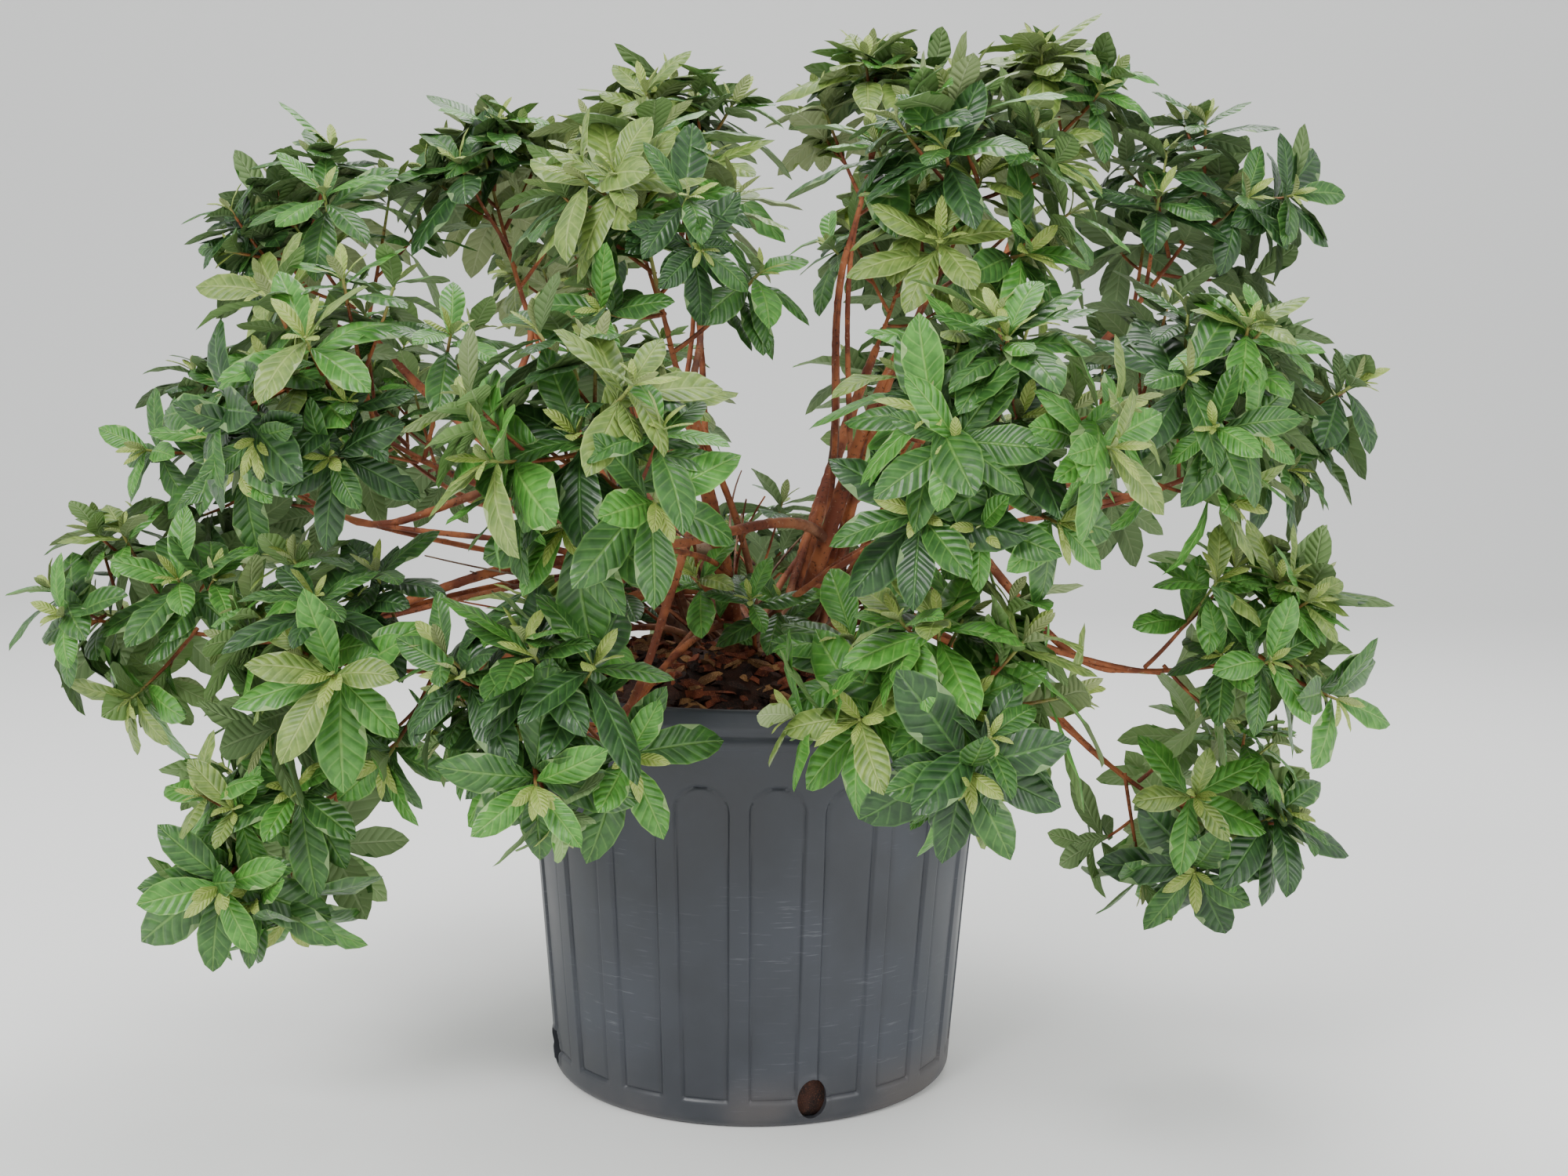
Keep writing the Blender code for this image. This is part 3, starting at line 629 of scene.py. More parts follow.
def chip_mesh(name, count, seed):
    """Chips strewn over the mound: two rings and two poles, scaled, turned and moved."""
    draw = np.random.default_rng(seed)
    angle = np.linspace(0.0, 2.0 * np.pi, CHIP_SIDES, endpoint=False)
    uneven = draw.uniform(*CHIP_UNEVEN, (count, 2, CHIP_SIDES))
    size = np.stack([draw.uniform(*span, count) for span in CHIP_HALF_SIZES], -1)
    ring = np.stack([np.cos(angle), np.sin(angle)], -1)
    flat = ring[None, None] * uneven[..., None] * size[:, None, None, :2]
    flat[:, 1] *= CHIP_TOP_SHARE
    level = np.array([-1.0, 1.0]) * size[:, 2:]
    height = np.broadcast_to(level[:, :, None], (count, 2, CHIP_SIDES))
    rings = np.concatenate([flat, height[..., None]], -1).reshape(count, 2 * CHIP_SIDES, 3)
    poles = np.zeros((count, 2, 3))
    poles[:, :, 2] = CHIP_CROWN * level
    points = np.concatenate([rings, poles], axis=1)
    points = np.einsum("nij,npj->npi", random_turns(draw, count, CHIP_LEAN), points)
    out = CHIP_EDGE * np.sqrt(draw.uniform(0.0, 1.0, count))
    bearing = draw.uniform(0.0, 2.0 * np.pi, count)
    place = turned(out, mound_height(out) - draw.uniform(*CHIP_DROP, count), bearing)
    points = points + sag(place)[:, None, :]
    first = np.arange(count)[:, None, None] * points.shape[1]
    pole = 2 * CHIP_SIDES
    caps = np.concatenate([fan_faces(pole, 0, CHIP_SIDES, False),
                           fan_faces(pole + 1, CHIP_SIDES, CHIP_SIDES, True)])
    quads = (tube_faces(2, CHIP_SIDES, 0)[None] + first).reshape(-1, 4)
    mesh = make_mesh(name, points.reshape(-1, 3), quads, (caps[None] + first).reshape(-1, 3))
    return smooth(mesh, CHIP_CRISP_FROM)


for number, (name, count, colours) in enumerate(CHIP_GROUPS):
    chips = chip_mesh(name, count, SEED + 10 + number)
    add_piece(name, chips, mulch_material("bark_" + name, *colours))

# %% [markdown]
# The shrub follows the rule of its solids. The crown is a set of masses of foliage, in
# tiers from the crest down to the hem. Each tier has a slope, a reach and the seats of its
# masses, as azimuth, distance out and height. The table and the functions of the next two
# cells are those of the solids, so every limb runs where its solid does.

# %% The shrub's plan
TIERS = {
    "crown": (48, 0.105, ((5, 0.250, 0.482), (305, 0.172, 0.466), (255, 0.180, 0.446),
                          (181, 0.246, 0.456), (125, 0.205, 0.468), (62, 0.200, 0.474))),
    "crest": (72, 0.088, ((25, 0.075, 0.540), (5, 0.165, 0.540),
                          (215, 0.060, 0.512), (172, 0.155, 0.496))),
    "shoulder": (22, 0.105, ((0, 0.284, 0.366), (327, 0.256, 0.378), (294, 0.262, 0.362),
                             (256, 0.268, 0.352), (220, 0.254, 0.378), (180, 0.290, 0.345),
                             (148, 0.284, 0.355), (110, 0.270, 0.365), (66, 0.270, 0.370),
                             (32, 0.290, 0.365))),
    "skirt": (0, 0.100, ((186, 0.340, 0.258), (216, 0.243, 0.252), (247, 0.232, 0.232),
                         (291, 0.238, 0.244), (340, 0.268, 0.250), (92, 0.258, 0.245))),
    "hem": (-38, 0.095, ((203, 0.268, 0.164), (350, 0.248, 0.160))),
}
STEM_TIER = "crown"
MASS_STEM_BACK = 0.052
BACK_SHRINK = 0.85
ROOT_MARGIN = 0.0036
UP = np.array([0.0, 0.0, 1.0])
ACROSS = np.array([1.0, 0.0, 0.0])


def at_azimuth(azimuth, radius, height):
    """The point at this azimuth in degrees, distance from the axis and height."""
    angle = math.radians(azimuth)
    return np.array([radius * math.cos(angle), radius * math.sin(angle), height])


def heading_at(azimuth, slope):
    """The direction at this azimuth that climbs at this slope, both in degrees."""
    return at_azimuth(azimuth, math.cos(math.radians(slope)), math.sin(math.radians(slope)))


masses = [
    {"tier": tier, "azimuth": azimuth, "slope": slope, "reach": reach,
     "direction": heading_at(azimuth, slope), "middle": at_azimuth(azimuth, out, height)}
    for tier, (slope, reach, seats) in TIERS.items() for azimuth, out, height in seats
]
middles = np.array([mass["middle"] for mass in masses])


def cell_margin(point, number):
    """How far a point lies inside the cell of this mass: the gap to the nearest bisector."""
    own = middles[number]
    others = np.delete(middles, number, axis=0)
    spare = np.sum((point - others) ** 2, axis=1) - np.sum((point - own) ** 2)
    return float(np.min(spare / (2.0 * np.linalg.norm(others - own, axis=1))))


for number, mass in enumerate(masses):
    back = MASS_STEM_BACK
    while cell_margin(mass["middle"] - mass["direction"] * back, number) < ROOT_MARGIN:
        back *= BACK_SHRINK
    mass["root"] = mass["middle"] - mass["direction"] * back
print(len(masses), "masses of foliage")

# %% [markdown]
# A main stem carries each mass of the crown tier, from its own foot on the soil. A bough
# carries each of the other masses, and forks from the nearest stem that isn't crowded yet.
# Both are cubic curves, which leave in one direction and arrive in another, so a low bough
# can rise before it arches over and hangs.

# %% Stems and boughs as curves
CROWDING = 12.0
FOOT_RING = 0.040
FOOT_RISE = 0.006
FOOT_FLARE = 1.5
STEM_BASE_RADIUS = 0.0052
STEM_TIP_RADIUS = 0.0024
STEM_UP, STEM_OUT, STEM_LEAVE = 0.80, 0.45, 0.38
BOUGH_TAKES = 0.72
BOUGH_TIP_RADIUS = 0.0018
BOUGH_ALONG, BOUGH_TOWARDS, BOUGH_UP, BOUGH_LEAVE = 0.28, 0.74, 0.40, 0.36
RISING_SLOPES = (-10.0, 50.0)
LIMB_ARRIVE = 0.30
TAPER_POWER = 0.85
STEM_POINTS = 8
BOUGH_POINTS = 6
FIRST_FORK = 0.26
FORK_STEP = 0.15


def bezier(handles, count):
    """A cubic curve: (1-t)^3 a + 3 (1-t)^2 t b + 3 (1-t) t^2 c + t^3 d, for t in 0 to 1."""
    t = np.linspace(0.0, 1.0, count)[:, None]
    s = 1.0 - t
    start, leave, arrive, end = handles
    return s ** 3 * start + 3.0 * s * s * t * leave + 3.0 * s * t * t * arrive + t ** 3 * end


def taper(base, tip, count):
    """Radii that shrink from base to tip."""
    share = np.linspace(0.0, 1.0, count)
    return tip + (base - tip) * (1.0 - share) ** TAPER_POWER


def stem_limb(mass):
    """A main stem, from its foot on the soil to the mass that it carries."""
    foot = at_azimuth(mass["azimuth"], FOOT_RING, SOIL_TOP)
    start = foot + UP * FOOT_RISE
    span = np.linalg.norm(mass["root"] - start)
    way = UP * STEM_UP + at_azimuth(mass["azimuth"], STEM_OUT, 0.0)
    handles = (start, start + way * STEM_LEAVE * span,
               mass["root"] - mass["direction"] * LIMB_ARRIVE * span, mass["root"])
    radii = taper(STEM_BASE_RADIUS, STEM_TIP_RADIUS, STEM_POINTS)
    return {"handles": handles, "points": np.concatenate([[foot], bezier(handles, STEM_POINTS)]),
            "radii": np.concatenate([[STEM_BASE_RADIUS * FOOT_FLARE], radii]), "boughs": []}


def limb_at(limb, share):
    """The point, direction and radius at a share of a limb's length."""
    points, radii = limb["points"], limb["radii"]
    along = share * (len(points) - 1)
    k = min(int(along), len(points) - 2)
    chord = points[k + 1] - points[k]
    part = along - k
    return points[k] + chord * part, unit(chord), radii[k] + (radii[k + 1] - radii[k]) * part


def bough_limb(stem, share, mass):
    """A bough that forks from a stem and arches over to its mass."""
    start, along, radius = limb_at(stem, share)
    span = np.linalg.norm(mass["root"] - start)
    towards = (mass["root"] - start) / span
    low = 1.0 - smoothstep(*RISING_SLOPES, mass["slope"])
    way = along * BOUGH_ALONG + towards * BOUGH_TOWARDS + UP * BOUGH_UP * low
    handles = (start, start + way * BOUGH_LEAVE * span,
               mass["root"] - mass["direction"] * LIMB_ARRIVE * span, mass["root"])
    return {"handles": handles, "points": bezier(handles, BOUGH_POINTS),
            "radii": taper(radius * BOUGH_TAKES, BOUGH_TIP_RADIUS, BOUGH_POINTS)}


def turn_between(first, second):
    """The angle in degrees between two azimuths."""
    return abs((first - second + 180.0) % 360.0 - 180.0)


stems = [mass for mass in masses if mass["tier"] == STEM_TIER]
for mass in stems:
    mass["limb"] = stem_limb(mass)
for mass in sorted((m for m in masses if m["tier"] != STEM_TIER), key=lambda m: m["azimuth"]):
    stem = min(stems, key=lambda s: turn_between(s["azimuth"], mass["azimuth"])
               + CROWDING * len(s["limb"]["boughs"]))
    stem["limb"]["boughs"].append(mass)
for stem in stems:
    carried = sorted(stem["limb"]["boughs"], key=lambda m: (m["slope"], m["azimuth"]))
    for number, mass in enumerate(carried):
        mass["limb"] = bough_limb(stem["limb"], FIRST_FORK + FORK_STEP * number, mass)
print(len(stems), "main stems and", len(masses) - len(stems), "boughs")

# %% [markdown]
# Every limb, shoot and twig is a tube: a circle of points carried along a path. The circle
# stands square to the path, on two vectors worked out from the path's own direction. Each
# point also keeps an age, from 0 for old bark to 1 for a shoot's green tip, which the
# material reads.

# %% Tubes along a path
TUBE_CRISP_FROM = 60.0


def path_frame(points):
    """A side and an upward vector at each point, square to the path."""
    along = unit(np.gradient(points, axis=0))
    mean = unit(points[-1] - points[0])
    hint = np.cross(mean, UP if abs(mean[2]) < 0.9 else ACROSS)
    side = unit(hint - along * np.sum(along * hint, axis=1, keepdims=True))
    return side, np.cross(along, side)


class Tubes:
    """Collects swept tubes as arrays, with an age at each point."""

    def __init__(self, sides):
        self.sides = sides
        self.points, self.ages = [], []
        self.quads, self.caps = [], []
        self.count = 0

    def add(self, points, radii, ages, relief=None):
        """A circle of the path's radius carried along it; relief multiplies the radius."""
        side, upward = path_frame(points)
        angle = np.linspace(0.0, 2.0 * np.pi, self.sides, endpoint=False)
        out = (np.cos(angle)[None, :, None] * side[:, None]
               + np.sin(angle)[None, :, None] * upward[:, None])
        radius = radii[:, None] * (1.0 if relief is None else relief(angle))
        ring = points[:, None] + out * np.broadcast_to(radius, out.shape[:2])[..., None]
        first = self.count
        pole = first + len(points) * self.sides
        self.points += [ring.reshape(-1, 3), points[[0, -1]]]
        self.ages += [np.repeat(ages, self.sides), ages[[0, -1]]]
        self.quads.append(tube_faces(len(points), self.sides, first))
        self.caps.append(fan_faces(pole, first, self.sides, False))
        self.caps.append(fan_faces(pole + 1, pole - self.sides, self.sides, True))
        self.count = pole + 2

    def mesh(self, name):
        """One mesh of every tube, with the ages as an attribute."""
        mesh = make_mesh(name, np.concatenate(self.points), np.concatenate(self.quads),
                         np.concatenate(self.caps))
        age = mesh.attributes.new("age", "FLOAT", "POINT")
        age.data.foreach_set("value", np.concatenate(self.ages).astype(np.float32))
        return smooth(mesh, TUBE_CRISP_FROM)


# %% [markdown]
# Old azalea stems are grey-brown and a little rough; young ones are smooth and red-brown.
# A limb's radius is multiplied by fine ridges that wander along it, and by a swelling at
# each old leaf scar, which faces another way every time.

# %% Bark relief on the limbs
LIMB_SIDES = 12
CURVE_STEPS = 60
RING_SPACING = 0.0022
SCAR_SPACING = 0.014
SCAR_HALF_LENGTH = 0.0016
SCAR_SWELL = 0.13
RIDGE_RISE = 0.045
FOOT_SINK = 0.004
FOOT_SWELL = (1.9, 1.35)


def resample(points, radii, spacing):
    """The path and radii read at even steps of about this spacing."""
    lengths = np.linalg.norm(np.diff(points, axis=0), axis=1)
    travelled = np.concatenate([[0.0], np.cumsum(lengths)])
    stops = np.linspace(0.0, travelled[-1], max(int(travelled[-1] / spacing), 3))
    even = np.stack([np.interp(stops, travelled, points[:, k]) for k in range(3)], -1)
    return even, np.interp(stops, travelled, radii), stops


def bark_relief(stops, seed):
    """Ridges that wander along the limb, and a swelling at each leaf scar."""
    phase = np.random.default_rng(seed).uniform(0.0, 6.28, 4)
    from_scar = np.mod(stops, SCAR_SPACING) - 0.5 * SCAR_SPACING
    swell = SCAR_SWELL * np.exp(-(from_scar / SCAR_HALF_LENGTH) ** 2)

    def relief(angle):
        wander = 1.4 * np.sin(stops * 90.0 + phase[0])[:, None]
        ridges = RIDGE_RISE * np.sin(4.0 * angle[None, :] + wander + phase[1])
        lumpy = RIDGE_RISE * np.sin(stops * 700.0 + phase[2])[:, None]
        lumpy = lumpy * np.sin(angle[None, :] * 2.0 + phase[3])
        facing = 0.5 + 0.5 * np.cos(angle[None, :] - stops[:, None] * 170.0)
        return 1.0 + ridges + lumpy + swell[:, None] * facing

    return relief


bark = Tubes(LIMB_SIDES)
for number, mass in enumerate(masses):
    limb = mass["limb"]
    path = bezier(limb["handles"], CURVE_STEPS)
    radii = np.interp(np.linspace(0.0, 1.0, CURVE_STEPS),
                      np.linspace(0.0, 1.0, len(limb["radii"])), limb["radii"])
    if mass["tier"] == STEM_TIER:
        foot = limb["points"][0]
        path = np.concatenate([[foot - UP * FOOT_SINK, foot], path])
        radii = np.concatenate([np.array(FOOT_SWELL) * STEM_BASE_RADIUS,
                                np.minimum(radii, STEM_BASE_RADIUS)])
    points, radii, stops = resample(path, radii, RING_SPACING)
    ages = np.linspace(0.05, 0.55, len(points)) + 0.10 * (number % 3)
    bark.add(points, radii, ages, bark_relief(stops, SEED + 100 + number))
print(len(masses), "limbs,", bark.count, "points")

# %% [markdown]
# A real azalea sends up many thin stems from its foot. The solids have one limb to a mass;
# here two thin stems more rise beside it, each from its own place on the soil, and lean a
# little apart. Old ones are grey-brown and young ones red.

# %% Thin stems beside the main ones
CANE_RADIUS = 0.0023
CANE_TIP_RADIUS = 0.0013
CANE_RING_SPACING = 0.0035
CANE_STEPS = 40
CANES_PER_MASS = 2
CANE_SWING = 50.0
CANE_RING = (0.012, 0.052)
CANE_LEAN = 0.06


def cane_handles(mass, draw):
    """A thin stem's curve from its own foot on the soil to the foot of a mass."""
    bearing = mass["azimuth"] + draw.uniform(-CANE_SWING, CANE_SWING)
    foot = at_azimuth(bearing, draw.uniform(*CANE_RING), SOIL_TOP - 0.003)
    end = mass["root"] + mass["direction"] * draw.uniform(0.0, 0.03)
    span = np.linalg.norm(end - foot)
    lift = 0.55 + 0.35 * draw.uniform()
    leave = foot + (UP * lift + at_azimuth(mass["azimuth"], 0.50, 0.0)) * 0.40 * span
    leave = leave + CANE_LEAN * span * draw.normal(size=3) * np.array([1.0, 1.0, 0.3])
    return foot, leave, end - mass["direction"] * LIMB_ARRIVE * span, end


draw = np.random.default_rng(SEED + 40)
for number, mass in enumerate(masses):
    for k in range(CANES_PER_MASS):
        path = bezier(cane_handles(mass, draw), CANE_STEPS)
        radii = taper(CANE_RADIUS * draw.uniform(0.65, 1.15), CANE_TIP_RADIUS, CANE_STEPS)
        points, radii, stops = resample(path, radii, CANE_RING_SPACING)
        ages = np.linspace(0.15, 0.80, len(points)) * draw.uniform(0.5, 1.1)
        bark.add(points, radii, np.clip(ages, 0.0, 1.0), bark_relief(stops, SEED + 300 + number))
print(CANES_PER_MASS * len(masses), "thin stems")

# %% [markdown]
# The bark material turns from grey-brown through red-brown to yellow-green as the age
# rises, which is how a shoot looks from its foot to its tip. Flecks of 2 mm and patches of
# 18 mm, the sizes of lenticels and of peeling bark, break the colour up.

# %% Bark material
FLECK_SIZE = 0.0022
BARK_PATCH = 0.018


def bark_material():
    """Azalea bark: thin, matt, grey-brown when old, red-brown and smoother when young."""
    material, tree = new_material("azalea_bark", 0.70, 1.45)
    age = add_node(tree, "ShaderNodeAttribute", output="Fac", attribute_name="age")
    place = add_node(tree, "ShaderNodeTexCoord", output="Object")
    fleck = add_node(tree, NOISE, {"Vector": place, "Scale": 1.0 / FLECK_SIZE, "Detail": 3.0},
                     "Fac")
    patch = add_node(tree, NOISE, {"Vector": place, "Scale": 1.0 / BARK_PATCH, "Detail": 2.0},
                     "Fac")
    grey = add_node(tree, RANGE, {0: patch, 1: 0.40, 2: 0.62}, **S_CURVE)
    old = add_node(tree, MIX, {0: grey, 6: "#5A3B2B", 7: "#8A7460"}, 2, **OF_COLOUR)
    orange = add_node(tree, RANGE, {0: patch, 1: 0.38, 2: 0.64}, **S_CURVE)
    red = add_node(tree, MIX, {0: orange, 6: "#6E3520", 7: "#A4603A"}, 2, **OF_COLOUR)
    young = add_node(tree, RANGE, {0: age, 1: 0.05, 2: 0.35}, **S_CURVE)
    colour = add_node(tree, MIX, {0: young, 6: old, 7: red}, 2, **OF_COLOUR)
    green = add_node(tree, RANGE, {0: age, 1: 0.80, 2: 0.97}, **S_CURVE)
    colour = add_node(tree, MIX, {0: green, 6: colour, 7: "#93A055"}, 2, **OF_COLOUR)
    # Painted shade: the bark is darkened where the fleck bump dips, in its pits.
    pit_shade = add_node(tree, RANGE, {0: fleck, 1: 0.42, 2: 0.30, 3: 0.0, 4: 0.75}, **S_CURVE)
    colour = add_node(tree, MIX, {0: pit_shade, 6: colour, 7: "#2E1A13"}, 2, **OF_COLOUR)
    spot = add_node(tree, RANGE, {0: fleck, 1: 0.62, 2: 0.74, 3: 0.0, 4: 0.5}, **S_CURVE)
    colour = add_node(tree, MIX, {0: spot, 6: colour, 7: "#B59A80"}, 2, **OF_COLOUR)
    bump = add_node(tree, "ShaderNodeBump", {"Height": fleck, "Strength": 0.5, "Distance": 0.0004})
    return feed_shader(material, {"Base Color": colour, "Normal": bump})


azalea_bark = bark_material()
limb_nodes = [name for name in frame["nodes"] if name.startswith(("stem_", "bough_"))]
add_piece("stems_and_boughs", bark.mesh("stems_and_boughs"), azalea_bark, limb_nodes)

# %% [markdown]
# An azalea's leaves stand in whorls at the ends of its shoots: older leaves spread below,
# dark and arching over, and small new ones stand up in the middle, yellow-green. Leaves of
# one tint go into one piece, so a shoot draws a tint by its tier, and its upper leaves take
# the next lighter one. Low shoots are brighter green, and the top is more olive.

# %% Tints, and where a twig may grow
TIER_TINTS = {
    "crest": {"deep": 0.22, "mid": 0.33, "bright": 0.05, "olive": 0.40},
    "crown": {"deep": 0.36, "mid": 0.36, "bright": 0.06, "olive": 0.22},
    "shoulder": {"deep": 0.44, "mid": 0.34, "bright": 0.14, "olive": 0.08},
    "skirt": {"deep": 0.26, "mid": 0.38, "bright": 0.36, "olive": 0.0},
    "hem": {"deep": 0.12, "mid": 0.38, "bright": 0.50, "olive": 0.0},
}
LIGHTER = {"deep": "mid", "mid": "bright", "bright": "olive", "olive": "olive"}
BOX_MARGIN = 0.006
POT_MARGIN = 0.006
leaf_rows = {"deep": [], "mid": [], "bright": [], "olive": [], "lime": []}
low_corner = np.array(cad_box[0], dtype=float) - BOX_MARGIN
high_corner = np.array(cad_box[1], dtype=float) + BOX_MARGIN


def spread_from(axis, around, tilt):
    """A direction tilted away from an axis by tilt degrees, at a bearing around it."""
    level = unit(np.cross(axis, UP if abs(axis[2]) < 0.95 else ACROSS))
    bearing = math.radians(around)
    out = level * math.cos(bearing) + np.cross(axis, level) * math.sin(bearing)
    return axis * math.cos(math.radians(tilt)) + out * math.sin(math.radians(tilt))


def is_clear(point):
    """Whether a point keeps inside the solids' box and clear of the pot and the soil."""
    if np.any(point < low_corner) or np.any(point > high_corner):
        return False
    over_pot = math.hypot(point[0], point[1]) < RIM_RADIUS + POT_MARGIN
    return not (over_pot and point[2] < SOIL_TOP + POT_MARGIN)


# %% [markdown]
# A leaf is kept as one row of numbers until all of them are turned into meshes at once: its
# root, its direction, the way its upper side faces, its size, and its own amounts of bend,
# fold, curl, twist and wave. The leaves of a whorl follow one another by the golden angle,
# 137.5 degrees, so none stands straight over another.

# %% Leaves and whorls
GOLDEN_ANGLE = 137.5
LEAF_LENGTH = 0.050
LEAF_WIDTH_SHARE = 0.40
NEW_LEAF_WIDTH_SHARE = 0.30
LEAF_WIDTHS = (0.88, 1.12)
LEAF_BENDS = (0.25, 0.95)
LEAF_FORMS = ((0.10, 0.42), (0.10, 0.45), (-0.35, 0.35), (0.0, 6.28))
WHORL_PITCH, WHORL_RISE, WHORL_WANDER = 82.0, 34.0, 9.0
WHORL_STAGGER = 0.011
WHORL_SINK = 0.002
HANG = 0.30
LIGHTER_FROM = 0.62
NEW_LEAVES = 4
NEW_LEAF_TURN, NEW_LEAF_STEP = 70.0, 97.0


def add_leaf(draw, tint, root, along, axis, length, share=LEAF_WIDTH_SHARE):
    """Keeps one leaf's place and form, unless it would leave the box or enter the pot."""
    face = unit(axis * 0.75 + UP * 0.35 + 1e-3)
    face = unit(face - along * np.dot(face, along))
    bend = draw.uniform(*LEAF_BENDS)
    for reach in (0.55, 1.0):
        if not is_clear(root + along * length * reach - face * 0.35 * bend * length * reach):
            return
    width = share * length * draw.uniform(*LEAF_WIDTHS)
    form = [draw.uniform(*span) for span in LEAF_FORMS]
    leaf_rows[tint].append([*root, *along, *face, length, width, bend, *form])


def grow_whorl(draw, tip, axis, tint, scale, count):
    """Leaves round a shoot's end: wide and drooping below, small and upright in the middle."""
    turn = draw.uniform(0.0, 360.0)
    for k in range(count):
        share = k / (count - 1)
        pitch = WHORL_PITCH - WHORL_RISE * share + draw.uniform(-WHORL_WANDER, WHORL_WANDER)
        along = spread_from(axis, turn + GOLDEN_ANGLE * k, pitch)
        along = unit(along - UP * draw.uniform(0.0, HANG) * (1.0 - 0.6 * share))
        length = LEAF_LENGTH * scale * (1.08 - 0.30 * share) * draw.uniform(0.85, 1.12)
        root = tip - axis * (WHORL_SINK + WHORL_STAGGER * (1.0 - share))
        add_leaf(draw, tint if share < LIGHTER_FROM else LIGHTER[tint], root, along, axis, length)
    for k in range(NEW_LEAVES):
        around = turn + NEW_LEAF_TURN + NEW_LEAF_STEP * k
        along = spread_from(axis, around, draw.uniform(14.0, 42.0))
        length = LEAF_LENGTH * scale * draw.uniform(0.26, 0.50)
        add_leaf(draw, "lime", tip - axis * WHORL_SINK, along, axis, length, NEW_LEAF_WIDTH_SHARE)


# %% [markdown]
# The rule that grew the solids grows the twigs, one step finer. A leader runs through each
# mass, side shoots leave it in turn, and most side shoots carry a shorter one. A shoot that
# would leave its mass is shortened until it fits, which keeps the sky open between masses.

# %% Shoots through each mass
SHOOT_STEPS = 9
SHOOT_RISE = 0.16
SHOOT_TIP_RADIUS = 0.0008
LEADER_RADIUS, SHOOT_RADIUS, SPRIG_RADIUS = 0.0017, 0.0013, 0.0010
LEADER_LENGTH = 0.040
SIDE_SHOOTS = 8
SHOOT_LENGTH = 0.064
SHOOT_SPREAD, SHOOT_WANDER = 58.0, 14.0
SHORTEST_SHOOT, SHORTEST_SPRIG = 0.020, 0.014
SPRIG_LENGTH = (0.026, 0.046)
SPRIG_SPREAD = 50.0
SPRIG_CHANCE = 0.75
TIP_INSET = 0.026
CELL_OVERLAP = 0.004
SHORTEN = 0.88
twigs = Tubes(6)


def grow_shoot(draw, base, heading, length, tint, scale, count, radius=SHOOT_RADIUS):
    """A shoot that curves up by the square of its length, with leaves and an end whorl."""
    step = np.linspace(0.0, 1.0, SHOOT_STEPS)[:, None]
    path = base + heading * length * step + UP * SHOOT_RISE * length * step ** 2
    ages = np.linspace(0.55, 1.0, SHOOT_STEPS) + draw.uniform(-0.10, 0.05)
    twigs.add(path, np.linspace(radius, SHOOT_TIP_RADIUS, SHOOT_STEPS), np.clip(ages, 0.0, 1.0))
    grow_whorl(draw, path[-1], unit(path[-1] - path[-2]), tint, scale, count)
    for k in range(int(draw.integers(1, 4))):
        at = draw.uniform(0.35, 0.80)
        root = base + heading * length * at + UP * SHOOT_RISE * length * at ** 2
        along = spread_from(heading, draw.uniform(0.0, 360.0), draw.uniform(48.0, 74.0))
        add_leaf(draw, tint, root, along, heading, LEAF_LENGTH * scale * draw.uniform(0.60, 0.95))
    return path


def keep_in_mass(number, base, heading, length, shortest):
    """The length at which a shoot's end keeps to its mass, or 0 if it is too short then."""
    mass = masses[number]
    while length > shortest:
        tip = base + heading * length
        near = np.linalg.norm(tip - mass["middle"]) < mass["reach"] - TIP_INSET
        if near and cell_margin(tip, number) > -CELL_OVERLAP and is_clear(tip):
            return length
        length *= SHORTEN
    return 0.0


def grow_mass(number):
    """A leader, its side shoots in turn round it, and a sprig on most of those."""
    mass = masses[number]
    draw = np.random.default_rng(SEED + 500 + number)
    names = list(TIER_TINTS[mass["tier"]])
    chances = list(TIER_TINTS[mass["tier"]].values())
    heading = mass["direction"]
    length = np.linalg.norm(mass["middle"] - mass["root"]) + LEADER_LENGTH
    tint = names[draw.choice(len(names), p=chances)]
    leader = grow_shoot(draw, mass["root"], heading, length, tint, 1.05, 8, LEADER_RADIUS)
    turn = draw.uniform(0.0, 360.0)
    for k in range(SIDE_SHOOTS):
        share = 0.18 + 0.78 * k / (SIDE_SHOOTS - 1)
        base = mass["root"] + (leader[-1] - mass["root"]) * share
        spread = SHOOT_SPREAD + draw.uniform(-SHOOT_WANDER, SHOOT_WANDER)
        side = unit(spread_from(heading, turn + GOLDEN_ANGLE * k, spread) + UP * 0.22)
        wanted = SHOOT_LENGTH * draw.uniform(0.75, 1.20) * (1.1 - 0.3 * share)
        long = keep_in_mass(number, base, side, wanted, SHORTEST_SHOOT)
        if long == 0.0:
            continue
        tint = names[draw.choice(len(names), p=chances)]
        scale = draw.uniform(0.82, 1.12)
        path = grow_shoot(draw, base, side, long, tint, scale, int(draw.integers(6, 9)))
        if draw.uniform() < SPRIG_CHANCE:
            at = path[int(draw.integers(3, 6))]
            small = unit(spread_from(side, draw.uniform(0.0, 360.0), SPRIG_SPREAD) + UP * 0.2)
            short = keep_in_mass(number, at, small, draw.uniform(*SPRIG_LENGTH), SHORTEST_SPRIG)
            if short > 0.0:
                grow_shoot(draw, at, small, short, tint, 0.86 * scale, 6, SPRIG_RADIUS)


for number in range(len(masses)):
    grow_mass(number)
print({tint: len(rows) for tint, rows in leaf_rows.items()})

# %% [markdown]
# Low shoots come straight from the foot of the shrub and hang their small whorls over the
# mulch, and bare dry twigs stand among them. Both are what keeps the middle of a real
# azalea from looking swept.

# %% Low shoots and dry twigs
LOW_SHOOTS = 15
LOW_SHOOT_RADIUS = 0.0012
LOW_SHOOT_TINTS = ("mid", "bright", "deep")
DRY_TWIGS = 34
DRY_TWIG_STEPS = 10
DRY_TWIG_RADII = (0.0010, 0.0005)

